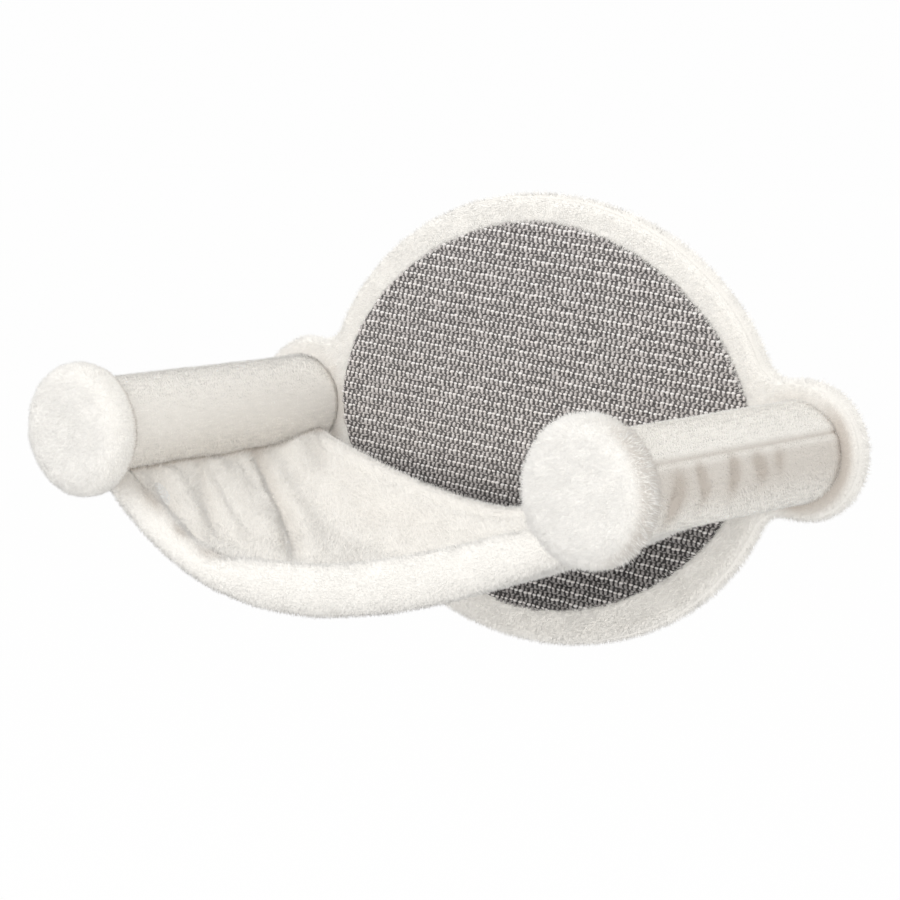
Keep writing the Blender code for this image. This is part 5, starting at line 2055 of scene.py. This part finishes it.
class CATBED_OT_board_and_fittings(bpy.types.Operator):
    """Give the board, the posts' cores, the hardware and the fillings their finishes"""

    bl_idname = "catbed.board_and_fittings"
    bl_label = "Board and fittings"

    def execute(self, context):
        sisal = context.scene.cat_bed_sisal
        finishes = {
            "fibreboard": speckled_material(
                "fibreboard", (0.42, 0.30, 0.19), (0.30, 0.20, 0.12), 620.0, 0.75, 0.0003
            ),
            "plywood": layered_material("plywood", (0.72, 0.56, 0.38), (0.48, 0.33, 0.19), 35.714),
            "card": speckled_material(
                "wound_card", (0.50, 0.40, 0.29), (0.38, 0.30, 0.21), 240.0, 0.85, 0.0003
            ),
            "steel": speckled_material(
                "zinc_plate", (0.63, 0.64, 0.66), (0.50, 0.51, 0.54), 260.0, 0.30, 0.0001, 1.0
            ),
            "fibre": fibre_material("rim_fibre"),
            # Painted shade: the ground is real, but its colour, a quarter of the dark yarn's,
            # stands for the shade between the yarns; below the sling it darkens further as painted
            # shadow.
            "jute": mat_ground_material(
                "sisal_ground",
                tuple(0.25 * c for c in sisal.dark),
                tuple(0.18 * c for c in sisal.dark),
                0.30,
            ),
        }
        # The finish of each node whose name holds these words; every other node is steel
        kinds = {
            "back_board": "fibreboard",
            "plug": "plywood",
            "cap_disc": "plywood",
            "post_tube": "card",
            "filling": "fibre",
            "scratch_mat": "jute",
        }
        for name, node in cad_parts.items():
            kind = next((kinds[key] for key in kinds if key in name), "steel")
            for place in node.material_slots:
                place.link = "OBJECT"
                place.material = finishes[kind]
        return {"FINISHED"}


class CATBED_OT_stage(bpy.types.Operator):
    """Set the floor, the soft lamps, the even sky and the camera"""

    bl_idname = "catbed.stage"
    bl_label = "Stage"

    def execute(self, context):
        scene, stage = context.scene, context.scene.cat_bed_stage
        size = FLOOR_HALF_WIDTH
        corners = [(-size, -size), (size, -size), (size, size), (-size, size)]
        floor_mesh = bpy.data.meshes.new("floor")
        floor_mesh.from_pydata([(x, y, FLOOR_HEIGHT) for x, y in corners], [], [(0, 1, 2, 3)])
        floor = bpy.data.objects.new("floor", floor_mesh)
        scene.collection.objects.link(floor)
        floor_mesh.materials.append(self.floor_material())
        self.sky(scene, stage.sky)
        self.lamp("key", place=(-0.35, -2.2, 2.3), size=2.2, power=stage.key_power)
        self.lamp("fill", place=(1.6, -2.4, 0.2), size=1.8, power=stage.fill_power)
        self.camera(scene)
        scene.view_settings.view_transform = "Standard"
        return {"FINISHED"}

    @staticmethod
    def camera(scene):
        """The camera, turned by its yaw, then its pitch and then its roll."""
        lens = bpy.data.cameras.new("camera")
        lens.sensor_width, lens.lens, lens.clip_end = SENSOR_WIDTH, CAMERA_LENS, 60.0
        camera = bpy.data.objects.new("camera", lens)
        scene.collection.objects.link(camera)
        yaw, pitch, roll = CAMERA_YAW, CAMERA_PITCH, CAMERA_ROLL
        back = Vector(
            (math.sin(yaw) * math.cos(pitch), -math.cos(yaw) * math.cos(pitch), math.sin(pitch))
        )
        right = Vector((math.cos(yaw), math.sin(yaw), 0.0))
        up = back.cross(right)
        side = math.cos(roll) * right + math.sin(roll) * up
        top = -math.sin(roll) * right + math.cos(roll) * up
        place = Matrix((side, top, back)).transposed().to_4x4()
        place.translation = Vector(CAMERA_PLACE)
        camera.matrix_world = place
        scene.camera = camera

    @staticmethod
    def shows_background(tree):
        """1 for a ray from the camera, and for one that metal mirrors or glass lets through."""
        path = put(tree, "ShaderNodeLightPath")
        seen = math_of(tree, "MAXIMUM", out(path, "Is Camera Ray"), out(path, "Is Glossy Ray"))
        return math_of(tree, "MAXIMUM", seen, out(path, "Is Transmission Ray"))

    @classmethod
    def floor_material(cls):
        """A pale floor that shows almost as white to the camera and keeps the object's shadow."""
        material, tree, shader = new_material("pale_floor")
        shader.inputs["Base Color"].default_value = (0.9, 0.9, 0.9, 1.0)
        shader.inputs["Roughness"].default_value = 0.9
        white = put(tree, "ShaderNodeEmission", {"Color": (1, 1, 1, 1), "Strength": 1.0})
        seen = math_of(tree, "MULTIPLY", cls.shows_background(tree), 0.95)
        mix = put(tree, "ShaderNodeMixShader", {0: seen, 1: out(shader), 2: out(white)})
        tree.links.new(out(mix), tree.nodes["Material Output"].inputs["Surface"])
        return material

    @classmethod
    def sky(cls, scene, strength):
        """An even sky, which the camera sees as white."""
        world = bpy.data.worlds.new("studio")
        scene.world = world
        world.use_nodes = True
        tree = world.node_tree
        even = tree.nodes["Background"]
        even.inputs["Color"].default_value = (1.0, 0.995, 0.985, 1.0)
        even.inputs["Strength"].default_value = strength
        white = put(tree, "ShaderNodeBackground", {"Color": (1, 1, 1, 1), "Strength": 0.99})
        seen = cls.shows_background(tree)
        mix = put(tree, "ShaderNodeMixShader", {0: seen, 1: out(even), 2: out(white)})
        tree.links.new(out(mix), tree.nodes["World Output"].inputs["Surface"])

    @staticmethod
    def lamp(name, place, size, power):
        """A square soft lamp, aimed at the middle of the bed."""
        data = bpy.data.lights.new(name, "AREA")
        data.size, data.energy = size, power
        item = bpy.data.objects.new(name, data)
        bpy.context.scene.collection.objects.link(item)
        item.location = place
        aim = Vector(LAMP_TARGET) - Vector(place)
        item.rotation_euler = aim.to_track_quat("-Z", "Y").to_euler()


PROPERTIES = {
    "cat_bed_plush": CatBedPlush,
    "cat_bed_sisal": CatBedSisal,
    "cat_bed_sling": CatBedSling,
    "cat_bed_stage": CatBedStage,
}
OPERATORS = [
    CATBED_OT_stage,
    CATBED_OT_sling,
    CATBED_OT_rims,
    CATBED_OT_board_cover,
    CATBED_OT_scratch_mat,
    CATBED_OT_post_sleeves,
    CATBED_OT_caps,
    CATBED_OT_hem_staples,
    CATBED_OT_board_and_fittings,
]


class CATBED_PT_panel(bpy.types.Panel):
    """Lists the pieces of the cat bed and their settings"""

    bl_idname = "CATBED_PT_panel"
    bl_label = "Cat bed"
    bl_space_type = "VIEW_3D"
    bl_region_type = "UI"
    bl_category = "Cat bed"

    def draw(self, context):
        for operator in OPERATORS:
            self.layout.operator(operator.bl_idname)
        for name, group in PROPERTIES.items():
            box = self.layout.box()
            for key in group.__annotations__:
                box.prop(getattr(context.scene, name), key)


def register():
    for item in [*PROPERTIES.values(), *OPERATORS, CATBED_PT_panel]:
        bpy.utils.register_class(item)
    for name, group in PROPERTIES.items():
        setattr(bpy.types.Scene, name, bpy.props.PointerProperty(type=group))


def unregister():
    for name in PROPERTIES:
        delattr(bpy.types.Scene, name)
    for item in reversed([*PROPERTIES.values(), *OPERATORS, CATBED_PT_panel]):
        bpy.utils.unregister_class(item)


def main():
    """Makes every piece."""
    register()
    for operator in OPERATORS:
        action = operator.bl_idname.split(".")[1]
        getattr(bpy.ops.catbed, action)()
    bpy.context.view_layer.update()


if __name__ == "__main__":
    main()
